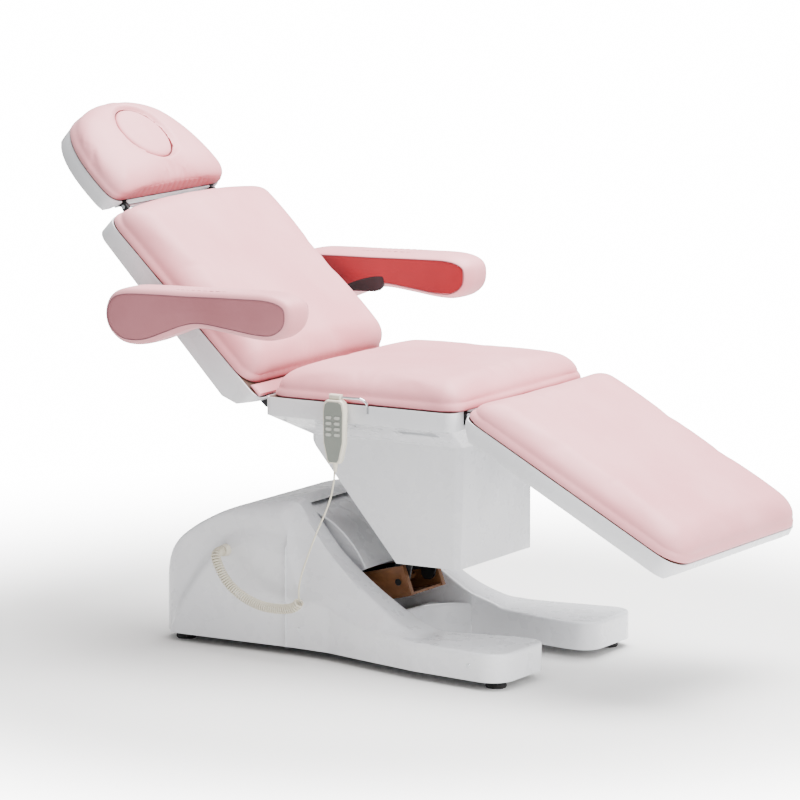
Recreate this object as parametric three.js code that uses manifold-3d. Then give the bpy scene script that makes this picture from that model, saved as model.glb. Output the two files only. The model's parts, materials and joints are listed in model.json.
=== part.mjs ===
// Electric facial treatment bed: moulded base, parallel lift, seat, backrest, headrest, leg rest,
// two armrests and a corded handset. Millimetres, +Z up, foot end towards +X, handset side at -Y.
import * as THREE from 'three';
import { mergeVertices } from 'three/addons/utils/BufferGeometryUtils.js';
import { ConvexGeometry } from 'three/addons/geometries/ConvexGeometry.js';
import Module from 'manifold-3d';

const wasm = await Module();
wasm.setup();

// ---------------------------------------------------------------- driving sizes
const PAD_WIDTH = 620;
const PAD_THICKNESS = 62;
const PAD_EDGE_RADIUS = 25;
const HINGE_SPAN = 520;          // backrest hinge to leg rest hinge
const BACK_LENGTH = 600;
const HEAD_LENGTH = 285;
const HEAD_WIDTH = 480;
const LEG_LENGTH = 627;
const RIM_HEIGHT = 622;          // top edge of the seat tray above the floor
const BACK_ANGLE = 43.5;         // degrees above horizontal
const LEG_ANGLE = 28.2;          // degrees below horizontal
const HEAD_TILT = 2.5;           // headrest behind the plane of the backrest, degrees
const BACK_DROP = 18;            // backrest body below the line of its hinges
const BACK_PAD_THICKNESS = 72;

const SHELL_DEPTH = 42;
const SHELL_WALL = 4;
const SHELL_INSET = 5;           // the shells are narrower than the cushions on each side
const RIM_ABOVE_HINGE = 8;
const PAD_GAP = 1;
const BOARD_THICKNESS = 10;
const FRAME_TUBE = 20;
const FRAME_BAY = 175;           // greatest spacing of the crossbars
const CLEARANCE = 0.4;           // running gap round pins
const TOUCH_GAP = 0.3;           // gap between pieces that touch

const HINGE_ROD_RADIUS = 5;
const LUG_RADIUS = 8;
const LUG_THICKNESS = 6;
const LUG_SPACING = 253;         // seat lug centre from the middle plane

const SEAT_PAD_REAR_GAP = 12;    // cushion end from the backrest hinge
const SEAT_PAD_FRONT_GAP = 2;
const BACK_PAD_START = 48;
const LEG_PAD_START = 2;
const HEAD_PAD_START = 8;
const HEAD_HINGE_GAP = 6;        // headrest hinge past the end of the backrest
const HINGE_COVER = [13, 46, 9];   // start, end and thickness on the backrest
const SHELL_START = 8;

const BASE_REAR = -545;
const BASE_FRONT = 456;
const BASE_CLEAR = 20;           // underside of the base cover above the floor
const PRONG_TOP = 85;
const PRONG_HALF_SPAN = 322;
const PRONG_INNER = 102;
const REAR_HALF_WIDTH = 214;
const REAR_CORNER = 70;
const BASE_WALL = 5;
const HUMP_HEIGHT = 366;
const SLOT_X = -176;             // lip of the hump over the lift cover
const SLOT_HALF_WIDTH = 134;
const SLOT_UNDERSIDE = 345;
const FLOOR_START = 2;
const NOTCH_CENTRE_X = 165;
const NOTCH_RADIUS_X = 135;
const NOTCH_RADIUS_Y = 144;

const FOOT_RADIUS = 24;
const FOOT_HEIGHT = 14;
const FOOT_STEM = 9;
const FRONT_FOOT = [410, 262];
const REAR_FOOT = [-492, 160];
const RAIL_BOTTOM = 30;
const RAIL_HEIGHT = 32;
const RAIL_WIDTH = 36;

const BACK_HINGE_X = -185;
const LIFT_PIVOT = [-230, 104];
const ARM_LENGTH = 280;
const ARM_ANGLE = 14.1;
const ARM_HALF_DEPTH = 36;
const ARM_NOSE = 25;             // arm past its upper pivot
const ARM_NOSE_RAKE = 4;
const ARM_FLOOR = [70, 6];       // start from the lower pivot and thickness of the arm's bottom plate
const ARM_CROSS = [130, 235];    // cross tubes, from the lower pivot
const CROSS_RADIUS = 9;
const LINK_OFFSET = [-5.8, 23.3];
const LINK_HALF_DEPTH = 10;
const LINK_CROSS = 180;
const PIVOT_PIN_RADIUS = 8;
const LINK_PIN_RADIUS = 6;
const LEVER_SPAN = [10, 16];     // distances from the middle plane, inner and outer face
const LINK_SPAN = [38, 50];
const LINK_BRACKET_SPAN = [52, 60];
const HANGER_SPAN = [56, 62];
const ARM_SPAN = [64, 78];
const BRACKET_SPAN = [84, 92];
const COVER_WEB_SPAN = [111, 116];
const HANGER_STEP = [250, 262];  // shelf where the hangers widen, heights
const COVER_RADIUS = 240;
const COVER_WALL = 4;
const COVER_HALF_WIDTH = 130;
const COVER_START = 25.5;        // polar angles round the lift pivot, degrees
const COVER_END = 88.6;

const HOUSING_HALF_WIDTH = 170;
const HOUSING_BOTTOM = 237;
const HOUSING_TOP = 518;
const HOUSING_FRONT = 262;
const HOUSING_REAR_TOP = -142;
const HOUSING_REAR_BOTTOM = 92;

const ACTUATOR_RADIUS = 22;
const ROD_RADIUS = 9;
const MOTOR_RADIUS = 18;
const LIFT_ACTUATOR_MOUNT = [-445, 95];
const LIFT_LEVER = [64, 262];    // length and polar angle at rest
const BACK_ACTUATOR_MOUNT = [60, 500];
const BACK_LEVER = [60, 235];
const BACK_ACTUATOR_Y = -50;
const LEG_ACTUATOR_MOUNT = [60, 532];
const LEG_LEVER = [58, -65];
const LEG_ACTUATOR_Y = 50;

const ARMREST_PIVOT = [305, -16];  // in the backrest body's own axes
const ARMREST_GAP = 45;          // armrest from the edge of the cushions
const ARMREST_INNER = PAD_WIDTH / 2 + ARMREST_GAP;
const ARMREST_WIDTH = 100;
const PLUG_RADIUS = 79;
const PLUG_GAP = 1.5;
const PLUG_PROUD = 5;
const PLUG_CENTRE = 155;

const HANDSET_ORIGIN = [25, -PAD_WIDTH / 2 - 8, 560];
const HANDSET_DEPTH = 22;
const KEYPAD_THICKNESS = 1.6;
const HOOK_LINE = [-PAD_WIDTH / 2 - 12.5, 639.5];   // y and z of the wire through the handset hanger
const HOOK_WIRE_RADIUS = 3;
const BUTTON_ROWS = 4;
const BUTTON_GAP = 0.4;
const BUTTON_PROUD = 1.6;

const CORD_RADIUS = 2.25;
const CURL_RADIUS = 12;
const INLET = [60, 69];              // y and z of the mains inlet on the rear wall
const SOCKET_RADIUS = 15;
const SOCKET_LENGTH = 16;
const CORD_SOCKET = [-345, 233];   // x and z on the near side wall

// ---------------------------------------------------------------- finishes
const finish = (color, roughness, metalness = 0) =>
  new THREE.MeshStandardMaterial({ color, roughness, metalness });
const whiteShell = finish(0xe9e9ea, 0.25);
const pinkLeather = finish(0xe8c8c8, 0.55);
const rubber = finish(0x151515, 0.9);
const chrome = finish(0xc9ccd0, 0.15, 1);
const blackSteel = finish(0x2a2b2d, 0.6, 0.6);
const primedSteel = finish(0xa0662c, 0.6, 0.2);
const plywood = finish(0xc8a878, 0.8);
const beigePlastic = finish(0xd9d4c4, 0.45);
const keypadGrey = finish(0x8b8d88, 0.5);
const buttonGrey = finish(0xb6b8b2, 0.5);
const blackPlastic = finish(0x1d1d1f, 0.5);

// ---------------------------------------------------------------- geometry helpers
const rad = THREE.MathUtils.degToRad;
const vec2 = ([x, y]) => new THREE.Vector2(x, y);
const FRAMES = {
  z: new THREE.Matrix4(),
  y: new THREE.Matrix4().makeBasis(
    new THREE.Vector3(1, 0, 0), new THREE.Vector3(0, 0, 1), new THREE.Vector3(0, -1, 0)),
  x: new THREE.Matrix4().makeBasis(
    new THREE.Vector3(0, 1, 0), new THREE.Vector3(0, 0, 1), new THREE.Vector3(1, 0, 0)),
};

function solid(geometry) {
  const bare = geometry.clone();
  bare.deleteAttribute('normal');
  bare.deleteAttribute('uv');
  const merged = mergeVertices(bare, 1e-3);
  return new wasm.Manifold(new wasm.Mesh({
    numProp: 3,
    vertProperties: new Float32Array(merged.attributes.position.array),
    triVerts: new Uint32Array(merged.index.array),
  }));
}

function surface(manifold) {
  const mesh = manifold.getMesh();
  const geometry = new THREE.BufferGeometry();
  geometry.setAttribute('position', new THREE.BufferAttribute(new Float32Array(mesh.vertProperties), 3));
  geometry.setIndex(new THREE.BufferAttribute(new Uint32Array(mesh.triVerts), 1));
  geometry.computeVertexNormals();
  return geometry;
}

function join(...solids) {
  return solids.reduce((sum, next) => sum.add(next));
}

function cut(body, ...tools) {
  return tools.reduce((rest, tool) => rest.subtract(tool), body);
}

// A closed outline of [a, b] points extruded along an axis between two stations.
function prism(points, axis, from, to) {
  const shape = new THREE.Shape(points.map(vec2));
  const geometry = new THREE.ExtrudeGeometry(shape, { depth: to - from, bevelEnabled: false, steps: 1 });
  geometry.translate(0, 0, axis === 'y' ? -to : from);
  geometry.applyMatrix4(FRAMES[axis]);
  return solid(geometry);
}

// The same, with rounded edges at both ends.
function softPrism(points, axis, from, to, radius, segments) {
  const shape = new THREE.Shape(points.map(vec2));
  const geometry = new THREE.ExtrudeGeometry(shape, {
    depth: to - from - 2 * radius,
    steps: 1,
    bevelEnabled: true,
    bevelThickness: radius,
    bevelSize: radius,
    bevelOffset: -radius,
    bevelSegments: segments,
  });
  geometry.translate(0, 0, (axis === 'y' ? -to : from) + radius);
  geometry.applyMatrix4(FRAMES[axis]);
  return solid(geometry);
}

function block(x0, x1, y0, y1, z0, z1) {
  const geometry = new THREE.BoxGeometry(x1 - x0, y1 - y0, z1 - z0);
  geometry.translate((x0 + x1) / 2, (y0 + y1) / 2, (z0 + z1) / 2);
  return solid(geometry);
}

// A round bar along Y at [x, z].
function pin([x, z], radius, y0, y1, sides = 16) {
  const geometry = new THREE.CylinderGeometry(radius, radius, y1 - y0, sides);
  geometry.translate(x, (y0 + y1) / 2, z);
  return solid(geometry);
}

function circlePoints([x, z], radius, sides = 20) {
  return Array.from({ length: sides }, (_, i) => {
    const a = 2 * Math.PI * i / sides;
    return [x + radius * Math.cos(a), z + radius * Math.sin(a)];
  });
}

// A flat bar with round ends between two points of the XZ plane.
function bar(a, b, radius, y0, y1, sides = 7) {
  const heading = Math.atan2(b[1] - a[1], b[0] - a[0]);
  const points = [];
  for (const [centre, start] of [[b, heading - Math.PI / 2], [a, heading + Math.PI / 2]]) {
    for (let i = 0; i <= sides; i += 1) {
      const angle = start + Math.PI * i / sides;
      points.push([centre[0] + radius * Math.cos(angle), centre[1] + radius * Math.sin(angle)]);
    }
  }
  return prism(points, 'y', y0, y1);
}

function bothSides(make) {
  return join(make(1), make(-1));
}

function span(side, inner, outer) {
  return side > 0 ? [inner, outer] : [-outer, -inner];
}

// Moves each point of a closed outline inwards (outlines run anticlockwise).
function inset(points, distance) {
  const count = points.length;
  return points.map((point, i) => {
    const before = points[(i + count - 1) % count];
    const after = points[(i + 1) % count];
    const inA = unitLeft(before, point);
    const inB = unitLeft(point, after);
    const scale = distance / Math.max(0.3, 1 + inA[0] * inB[0] + inA[1] * inB[1]);
    return [point[0] + (inA[0] + inB[0]) * scale, point[1] + (inA[1] + inB[1]) * scale];
  });
}

function unitLeft(a, b) {
  const length = Math.hypot(b[0] - a[0], b[1] - a[1]) || 1;
  return [-(b[1] - a[1]) / length, (b[0] - a[0]) / length];
}

function polar([x, z], radius, degrees) {
  return [x + radius * Math.cos(rad(degrees)), z + radius * Math.sin(rad(degrees))];
}

function mesh(name, shape, material, parent) {
  const item = new THREE.Mesh(shape.isBufferGeometry ? shape : surface(shape), material);
  item.name = name;
  parent.add(item);
  return item;
}

function pivotGroup(name, parent, position, rotation = [0, 0, 0]) {
  const group = new THREE.Group();
  group.name = name;
  group.position.set(...position);
  group.rotation.set(...rotation);
  parent.add(group);
  return group;
}

// Half an outline (y >= 0, running from -x to +x) completed by its mirror image.
function mirrored(half) {
  const other = half.filter(([, y]) => y > 1e-6).map(([x, y]) => [x, -y]);
  return [...other, ...half.slice().reverse()];
}

// ---------------------------------------------------------------- base
function baseHalfOutline() {
  const path = new THREE.Path();
  path.moveTo(BASE_REAR, 0);
  path.lineTo(BASE_REAR + 6, REAR_HALF_WIDTH - REAR_CORNER);
  path.bezierCurveTo(BASE_REAR + 8, REAR_HALF_WIDTH - 20, BASE_REAR + 25, REAR_HALF_WIDTH,
    BASE_REAR + 6 + REAR_CORNER, REAR_HALF_WIDTH);
  path.lineTo(-160, REAR_HALF_WIDTH);
  path.bezierCurveTo(-60, REAR_HALF_WIDTH + 4, 60, 268, 210, 292);
  path.lineTo(BASE_FRONT - 55, PRONG_HALF_SPAN - 4);
  path.bezierCurveTo(BASE_FRONT - 15, PRONG_HALF_SPAN, BASE_FRONT, PRONG_HALF_SPAN - 15,
    BASE_FRONT, PRONG_HALF_SPAN - 50);
  path.lineTo(BASE_FRONT, PRONG_INNER + 45);
  path.bezierCurveTo(BASE_FRONT, PRONG_INNER + 15, BASE_FRONT - 15, PRONG_INNER, BASE_FRONT - 45, PRONG_INNER);
  path.bezierCurveTo(330, PRONG_INNER, 260, NOTCH_RADIUS_Y, NOTCH_CENTRE_X, NOTCH_RADIUS_Y);
  path.absellipse(NOTCH_CENTRE_X, 0, NOTCH_RADIUS_X, NOTCH_RADIUS_Y, Math.PI / 2, Math.PI);
  const points = path.getPoints(7).map(({ x, y }) => [x, Math.max(0, y)]);
  return points.filter((p, i) => i === 0 || Math.hypot(p[0] - points[i - 1][0], p[1] - points[i - 1][1]) > 0.5);
}

function humpProfile() {
  const rear = new THREE.SplineCurve([
    [BASE_REAR + 2, 60], [BASE_REAR + 15, 160], [BASE_REAR + 46, 228], [-442, 278],
    [-360, 322], [-290, 346], [-230, 358], [SLOT_X, HUMP_HEIGHT],
  ].map(vec2)).getPoints(16);
  const cheek = new THREE.SplineCurve([
    [SLOT_X + 6, HUMP_HEIGHT - 2], [-150, 338], [-79, 253], [-20, 203], [38, 162], [105, 122],
    [170, 96], [225, PRONG_TOP - 6],
  ].map(vec2)).getPoints(16);
  const top = [...rear, ...cheek].map(({ x, y }) => [x, y]);
  return [[BASE_REAR + 2, BASE_CLEAR], [225, BASE_CLEAR], ...top.reverse()];
}

// Half sections of the hump: [y, z] behind the slot lip, and of the two cheeks in front of it.
const HUMP_SIDE = [[300, BASE_CLEAR], [272, 95], [236, 200], [214, 290], [206, 320], [190, 346], [165, 368]];
const CHEEK_SIDE = [[300, BASE_CLEAR], [270, PRONG_TOP], [214, 150], [198, 240], [192, 320], [180, 346], [160, 368]];

function crossSection(side) {
  return [...side.map(([y, z]) => [-y, z]).reverse(), ...side].reverse();
}

function baseSolid(wall) {
  const bottom = wall > 0 ? BASE_CLEAR - 15 : BASE_CLEAR;
  const outline = inset(mirrored(baseHalfOutline()), wall);
  const plate = wall > 0
    ? prism(outline, 'z', bottom, PRONG_TOP - wall)
    : softPrism(outline, 'z', bottom, PRONG_TOP, 9, 2);
  const sections = join(
    prism(inset(crossSection(HUMP_SIDE), wall), 'x', BASE_REAR - 20, SLOT_X + 1),
    prism(inset(crossSection(CHEEK_SIDE), wall), 'x', SLOT_X, BASE_FRONT));
  const tall = prism(outline, 'z', bottom, HUMP_HEIGHT + 20)
    .intersect(prism(inset(humpProfile(), wall), 'y', -400, 400))
    .intersect(sections);
  const trough = block(SLOT_X - wall, 400, -SLOT_HALF_WIDTH - wall, SLOT_HALF_WIDTH + wall,
    PRONG_TOP - wall, HUMP_HEIGHT + 40);
  return join(plate, cut(tall, trough));
}

function baseCover() {
  const opening = block(SLOT_X - 14, FLOOR_START, -SLOT_HALF_WIDTH, SLOT_HALF_WIDTH, 0, SLOT_UNDERSIDE);
  const inletHole = block(BASE_REAR - 10, BASE_REAR + 60, INLET[0] - 20 - CLEARANCE, INLET[0] + 20 + CLEARANCE,
    INLET[1] - 15 - CLEARANCE, INLET[1] + 15 + CLEARANCE);
  const memberGap = block(-66, -24, -SLOT_HALF_WIDTH - 12, SLOT_HALF_WIDTH + 12, 0, RAIL_BOTTOM + RAIL_HEIGHT + 4);
  return cut(baseSolid(0), baseSolid(BASE_WALL), opening, memberGap, inletHole);
}

function rail(side) {
  const centre = [[-508, 150], [-60, 165], [60, 187], [428, 260]];
  const half = RAIL_WIDTH / 2;
  const outline = [...centre.map(([x, y]) => [x, y - half]), ...centre.map(([x, y]) => [x, y + half]).reverse()];
  const placed = side > 0 ? outline : outline.map(([x, y]) => [x, -y]).reverse();
  return prism(placed, 'z', RAIL_BOTTOM, RAIL_BOTTOM + RAIL_HEIGHT);
}

function baseFrame(linkPivot) {
  const top = RAIL_BOTTOM + RAIL_HEIGHT;
  const crossbars = join(block(-508, -474, -150, 150, RAIL_BOTTOM, top), block(-60, -30, -165, 165, RAIL_BOTTOM, top));
  const bracket = [[-500, 30], [-30, 30], [-30, top], [-128, 70], [-195, 128], [-262, 128], [-300, 52], [-500, 52]];
  const brackets = bothSides((side) => prism(bracket, 'y', ...span(side, ...BRACKET_SPAN)));
  const [lx, lz] = linkPivot;
  const linkBracket = [[-500, 30], [-30, 30], [-30, 52], [lx + 46, 52], [lx + 31, 100], [lx + 13, lz + 12],
    [lx - 13, lz + 12], [lx - 39, 52], [-500, 52]];
  const linkBrackets = bothSides((side) => prism(linkBracket, 'y', ...span(side, ...LINK_BRACKET_SPAN)));
  const mount = bothSides((side) =>
    join(bar([-490, 50], LIFT_ACTUATOR_MOUNT, 13, ...span(side, 27, 33)),
      block(-500, -474, ...span(side, 27, 33), RAIL_BOTTOM, 60)));
  const mountPin = pin(LIFT_ACTUATOR_MOUNT, 6, -33, 33);
  const reach = BRACKET_SPAN[1] + 1;
  const linkReach = LINK_BRACKET_SPAN[1] + 1;
  return cut(join(rail(1), rail(-1), crossbars, brackets, linkBrackets, mount, mountPin),
    pin(LIFT_PIVOT, PIVOT_PIN_RADIUS + CLEARANCE, -reach, reach),
    pin(linkPivot, LINK_PIN_RADIUS + CLEARANCE, -linkReach, linkReach));
}

function foot() {
  const profile = [[0, 0], [FOOT_RADIUS - 2, 0], [FOOT_RADIUS, 3], [FOOT_RADIUS, FOOT_HEIGHT - 3],
    [FOOT_RADIUS - 4, FOOT_HEIGHT], [FOOT_STEM, FOOT_HEIGHT], [FOOT_STEM, RAIL_BOTTOM - TOUCH_GAP],
    [0, RAIL_BOTTOM - TOUCH_GAP]];
  const geometry = new THREE.LatheGeometry(profile.map(vec2), 20);
  geometry.rotateX(Math.PI / 2);
  return surface(solid(geometry));
}

function powerInlet() {
  const [y, z] = INLET;
  const flange = block(BASE_REAR - 4, BASE_REAR - 0.6, y - 26, y + 26, z - 21, z + 21);
  const housing = block(BASE_REAR - 3, BASE_REAR + 34, y - 20, y + 20, z - 15, z + 15);
  const recess = block(BASE_REAR - 5, BASE_REAR + 16, y - 13, y + 13, z - 9, z + 9);
  const blades = [-7, 0, 7].map((dy) => block(BASE_REAR + 5, BASE_REAR + 17, y + dy - 1, y + dy + 1, z - 3, z + 3));
  return join(cut(join(flange, housing), recess), ...blades);
}

// ---------------------------------------------------------------- lift
// A point of the arm: distance along it from the lower pivot, and height above its centre line.
function onArm(along, above) {
  const c = Math.cos(rad(ARM_ANGLE));
  const n = Math.sin(rad(ARM_ANGLE));
  return [LIFT_PIVOT[0] + along * c - above * n, LIFT_PIVOT[1] + along * n + above * c];
}

function armPlate(from, to) {
  const tip = ARM_LENGTH + ARM_NOSE;
  const back = Array.from({ length: 11 }, (_, i) => polar(LIFT_PIVOT, ARM_HALF_DEPTH, ARM_ANGLE + 90 + 18 * i));
  const front = [onArm(tip + ARM_NOSE_RAKE, -ARM_HALF_DEPTH), onArm(tip - ARM_NOSE_RAKE, ARM_HALF_DEPTH)];
  return prism([...back, ...front], 'y', from, to);
}

function liftArm(upper, leverEnd) {
  const plates = bothSides((side) => armPlate(...span(side, ...ARM_SPAN)));
  const [floorStart, floorThickness] = ARM_FLOOR;
  const tip = ARM_LENGTH + ARM_NOSE - 1;
  const floor = prism([onArm(floorStart, -ARM_HALF_DEPTH), onArm(tip, -ARM_HALF_DEPTH),
    onArm(tip, floorThickness - ARM_HALF_DEPTH), onArm(floorStart, floorThickness - ARM_HALF_DEPTH)],
  'y', -ARM_SPAN[0] - 1, ARM_SPAN[0] + 1);
  const [nearCross, farCross] = ARM_CROSS.map((along) => onArm(along, 0));
  const webReach = COVER_WEB_SPAN[0] - TOUCH_GAP;
  const tubes = join(pin(nearCross, CROSS_RADIUS, -webReach, webReach),
    pin(farCross, CROSS_RADIUS, -ARM_SPAN[0] - 1, ARM_SPAN[0] + 1));
  const levers = bothSides((side) => join(
    bar(nearCross, LIFT_PIVOT, 13, ...span(side, ...LEVER_SPAN)),
    bar(LIFT_PIVOT, leverEnd, 12, ...span(side, ...LEVER_SPAN))));
  const bores = [LIFT_PIVOT, upper].map((p) => pin(p, PIVOT_PIN_RADIUS + CLEARANCE, -130, 130));
  return cut(join(plates, floor, tubes, levers), ...bores, pin(leverEnd, 6, -20, 20));
}

function sector(inner, outer, from, to, y0, y1) {
  const steps = 18;
  const arc = (radius, a, b) => Array.from({ length: steps + 1 }, (_, i) => polar(LIFT_PIVOT, radius, a + (b - a) * i / steps));
  return prism([...arc(outer, from, to), ...arc(inner, to, from)], 'y', y0, y1);
}

function liftCover() {
  const rim = sector(COVER_RADIUS - COVER_WALL, COVER_RADIUS, COVER_START, COVER_END, -COVER_HALF_WIDTH, COVER_HALF_WIDTH);
  const web = (side) => join(
    sector(ARM_HALF_DEPTH, COVER_RADIUS - 1, COVER_START, COVER_END, ...span(side, ...COVER_WEB_SPAN)),
    bar(onArm(60, 0), onArm(ARM_CROSS[0] + 20, 0), 16, ...span(side, ...COVER_WEB_SPAN)));
  return join(rim, bothSides(web));
}

function levelLink(lower, upper) {
  const plates = bothSides((side) => bar(lower, upper, LINK_HALF_DEPTH, ...span(side, ...LINK_SPAN)));
  const across = LINK_SPAN[0] + 1;
  const cross = pin(polar(lower, LINK_CROSS, ARM_ANGLE), 7, -across, across);
  const bores = [lower, upper].map((p) => pin(p, LINK_PIN_RADIUS + CLEARANCE, -100, 100));
  return cut(join(plates, cross), ...bores);
}

// ---------------------------------------------------------------- linear actuators
// Modelled along +X from the mounting pin at the origin.
function actuatorBody(length, boreStart, mountRadius, motorSide) {
  const along = (radius, x0, x1, y, z) => {
    const geometry = new THREE.CylinderGeometry(radius, radius, x1 - x0, 20);
    geometry.rotateZ(Math.PI / 2);
    geometry.translate((x0 + x1) / 2, y, z);
    return solid(geometry);
  };
  const tube = along(ACTUATOR_RADIUS, 20, length, 0, 0);
  const tongue = block(-12, 40, -9, 9, -12, 12);
  const motorEdge = motorSide * (ACTUATOR_RADIUS + 2 * MOTOR_RADIUS);
  const gearbox = block(24, 74, -23, 23, Math.min(-20, motorEdge), Math.max(20, motorEdge));
  const motor = along(MOTOR_RADIUS, 60, 140, 0, motorSide * (ACTUATOR_RADIUS + MOTOR_RADIUS - 2));
  return cut(join(tube, tongue, gearbox, motor),
    along(ROD_RADIUS + CLEARANCE, boreStart, length + 5, 0, 0),
    pin([0, 0], mountRadius + CLEARANCE, -60, 60));
}

// Modelled along +X with the eye centre at the given distance.
function actuatorRod(reach, length) {
  const geometry = new THREE.CylinderGeometry(ROD_RADIUS, ROD_RADIUS, length, 16);
  geometry.rotateZ(Math.PI / 2);
  geometry.translate(reach - length / 2, 0, 0);
  const eye = pin([reach, 0], 13, -7, 7);
  return cut(join(solid(geometry), eye), pin([reach, 0], 6, -20, 20));
}

function addActuator(name, parent, mount, target, y, sizes) {
  const heading = Math.atan2(target[1] - mount[1], target[0] - mount[0]);
  const reach = Math.hypot(target[0] - mount[0], target[1] - mount[1]);
  const group = pivotGroup(`${name}_pivot`, parent, [mount[0], y, mount[1]], [0, -heading, 0]);
  mesh(`${name}_body`, actuatorBody(sizes.body, sizes.bore, sizes.pin, sizes.motorSide), blackPlastic, group);
  mesh(`${name}_rod`, actuatorRod(reach, sizes.rod), chrome, group);
}

// ---------------------------------------------------------------- shells, boards, cushions
// Outlines lie in each section's own XY plane, X measured from its hinge.
function roundedSection(start, end, half, startRadius, endRadius, crown, steps = 4) {
  const path = new THREE.Path();
  path.moveTo(start, 0);
  path.lineTo(start, half - startRadius);
  path.absarc(start + startRadius, half - startRadius, startRadius, Math.PI, Math.PI / 2, true);
  path.lineTo(end - crown - endRadius, half);
  path.absarc(end - crown - endRadius, half - endRadius, endRadius, Math.PI / 2, crown > 0 ? 0.12 : 0, true);
  path.quadraticCurveTo(end, half * 0.45, end, 0);
  const raw = path.getPoints(steps).map(({ x, y }) => [x, y]);
  const clean = raw.filter((p, i) => i === 0 || Math.hypot(p[0] - raw[i - 1][0], p[1] - raw[i - 1][1]) > 0.8);
  return mirrored(clean);
}

function headOutline(start, length, half) {
  const path = new THREE.Path();
  path.moveTo(start, 0);
  path.lineTo(start, half - 40);
  path.quadraticCurveTo(start, half, start + 42, half - 1);
  path.bezierCurveTo(start + 110, half - 3, length - 85, half - 16, length - 36, half - 80);
  path.bezierCurveTo(length - 12, half - 122, length, half - 180, length, 0);
  const raw = path.getPoints(8).map(({ x, y }) => [x, Math.max(0, y)]);
  return mirrored(raw);
}

function cushion(outline, thickness = PAD_THICKNESS) {
  const bottom = RIM_ABOVE_HINGE + PAD_GAP;
  return softPrism(outline, 'z', bottom, bottom + thickness, PAD_EDGE_RADIUS, 3);
}

function openShell(outline, profile, ...cuts) {
  const outer = prism(outline, 'z', -90, RIM_ABOVE_HINGE).intersect(prism(profile, 'y', -400, 400));
  const lid = profile.map(([x, z]) => [x, z >= RIM_ABOVE_HINGE - 0.01 ? z + 2 * SHELL_WALL + 10 : z]);
  const inner = prism(inset(outline, SHELL_WALL), 'z', -95, RIM_ABOVE_HINGE + 10)
    .intersect(prism(inset(lid, SHELL_WALL), 'y', -400, 400));
  return cut(outer, inner, ...cuts);
}

function board(outline, ...holes) {
  const top = RIM_ABOVE_HINGE + PAD_GAP / 2;
  const sheet = prism(inset(outline, SHELL_WALL + 1), 'z', top - BOARD_THICKNESS, top);
  return cut(sheet, ...holes);
}

function sectionFrame(start, end, half) {
  const top = -2 - CLEARANCE;
  const bottom = top - FRAME_TUBE;
  const outer = block(start, end, -half, half, bottom, top);
  const window = block(start + FRAME_TUBE, end - FRAME_TUBE, -half + FRAME_TUBE, half - FRAME_TUBE, bottom - 1, top + 1);
  const bays = Math.ceil((end - start) / FRAME_BAY);
  const bars = Array.from({ length: bays - 1 }, (_, i) => {
    const x = start + FRAME_TUBE / 2 + (i + 1) * (end - start - FRAME_TUBE) / bays;
    return block(x - FRAME_TUBE / 2, x + FRAME_TUBE / 2, -half + 5, half - 5, bottom, top);
  });
  return join(cut(outer, window), ...bars);
}

// Flat bars one after another through the points of a path.
function barPath(path, radius, y0, y1) {
  return join(...path.slice(1).map((point, i) => bar(path[i], point, radius, y0, y1)));
}

// Hinge lugs follow a path from a section's frame to its hinge rod.
function lugs(path, spacing) {
  return bothSides((side) => barPath(path, LUG_RADIUS,
    ...span(side, spacing - LUG_THICKNESS / 2, spacing + LUG_THICKNESS / 2)));
}

function leverPlates(path, end, centreY) {
  const plate = (y0, y1) => join(bar(path[path.length - 1], end, 11, y0, y1), barPath(path, LUG_RADIUS, y0, y1));
  return cut(join(plate(centreY - 17, centreY - 11), plate(centreY + 11, centreY + 17)),
    pin(end, 6, centreY - 20, centreY + 20));
}

// ---------------------------------------------------------------- seat
function trayOutline(x0, x1, half) {
  return roundedSection(x0, x1, half, 22, 22, 0, 4);
}

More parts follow.
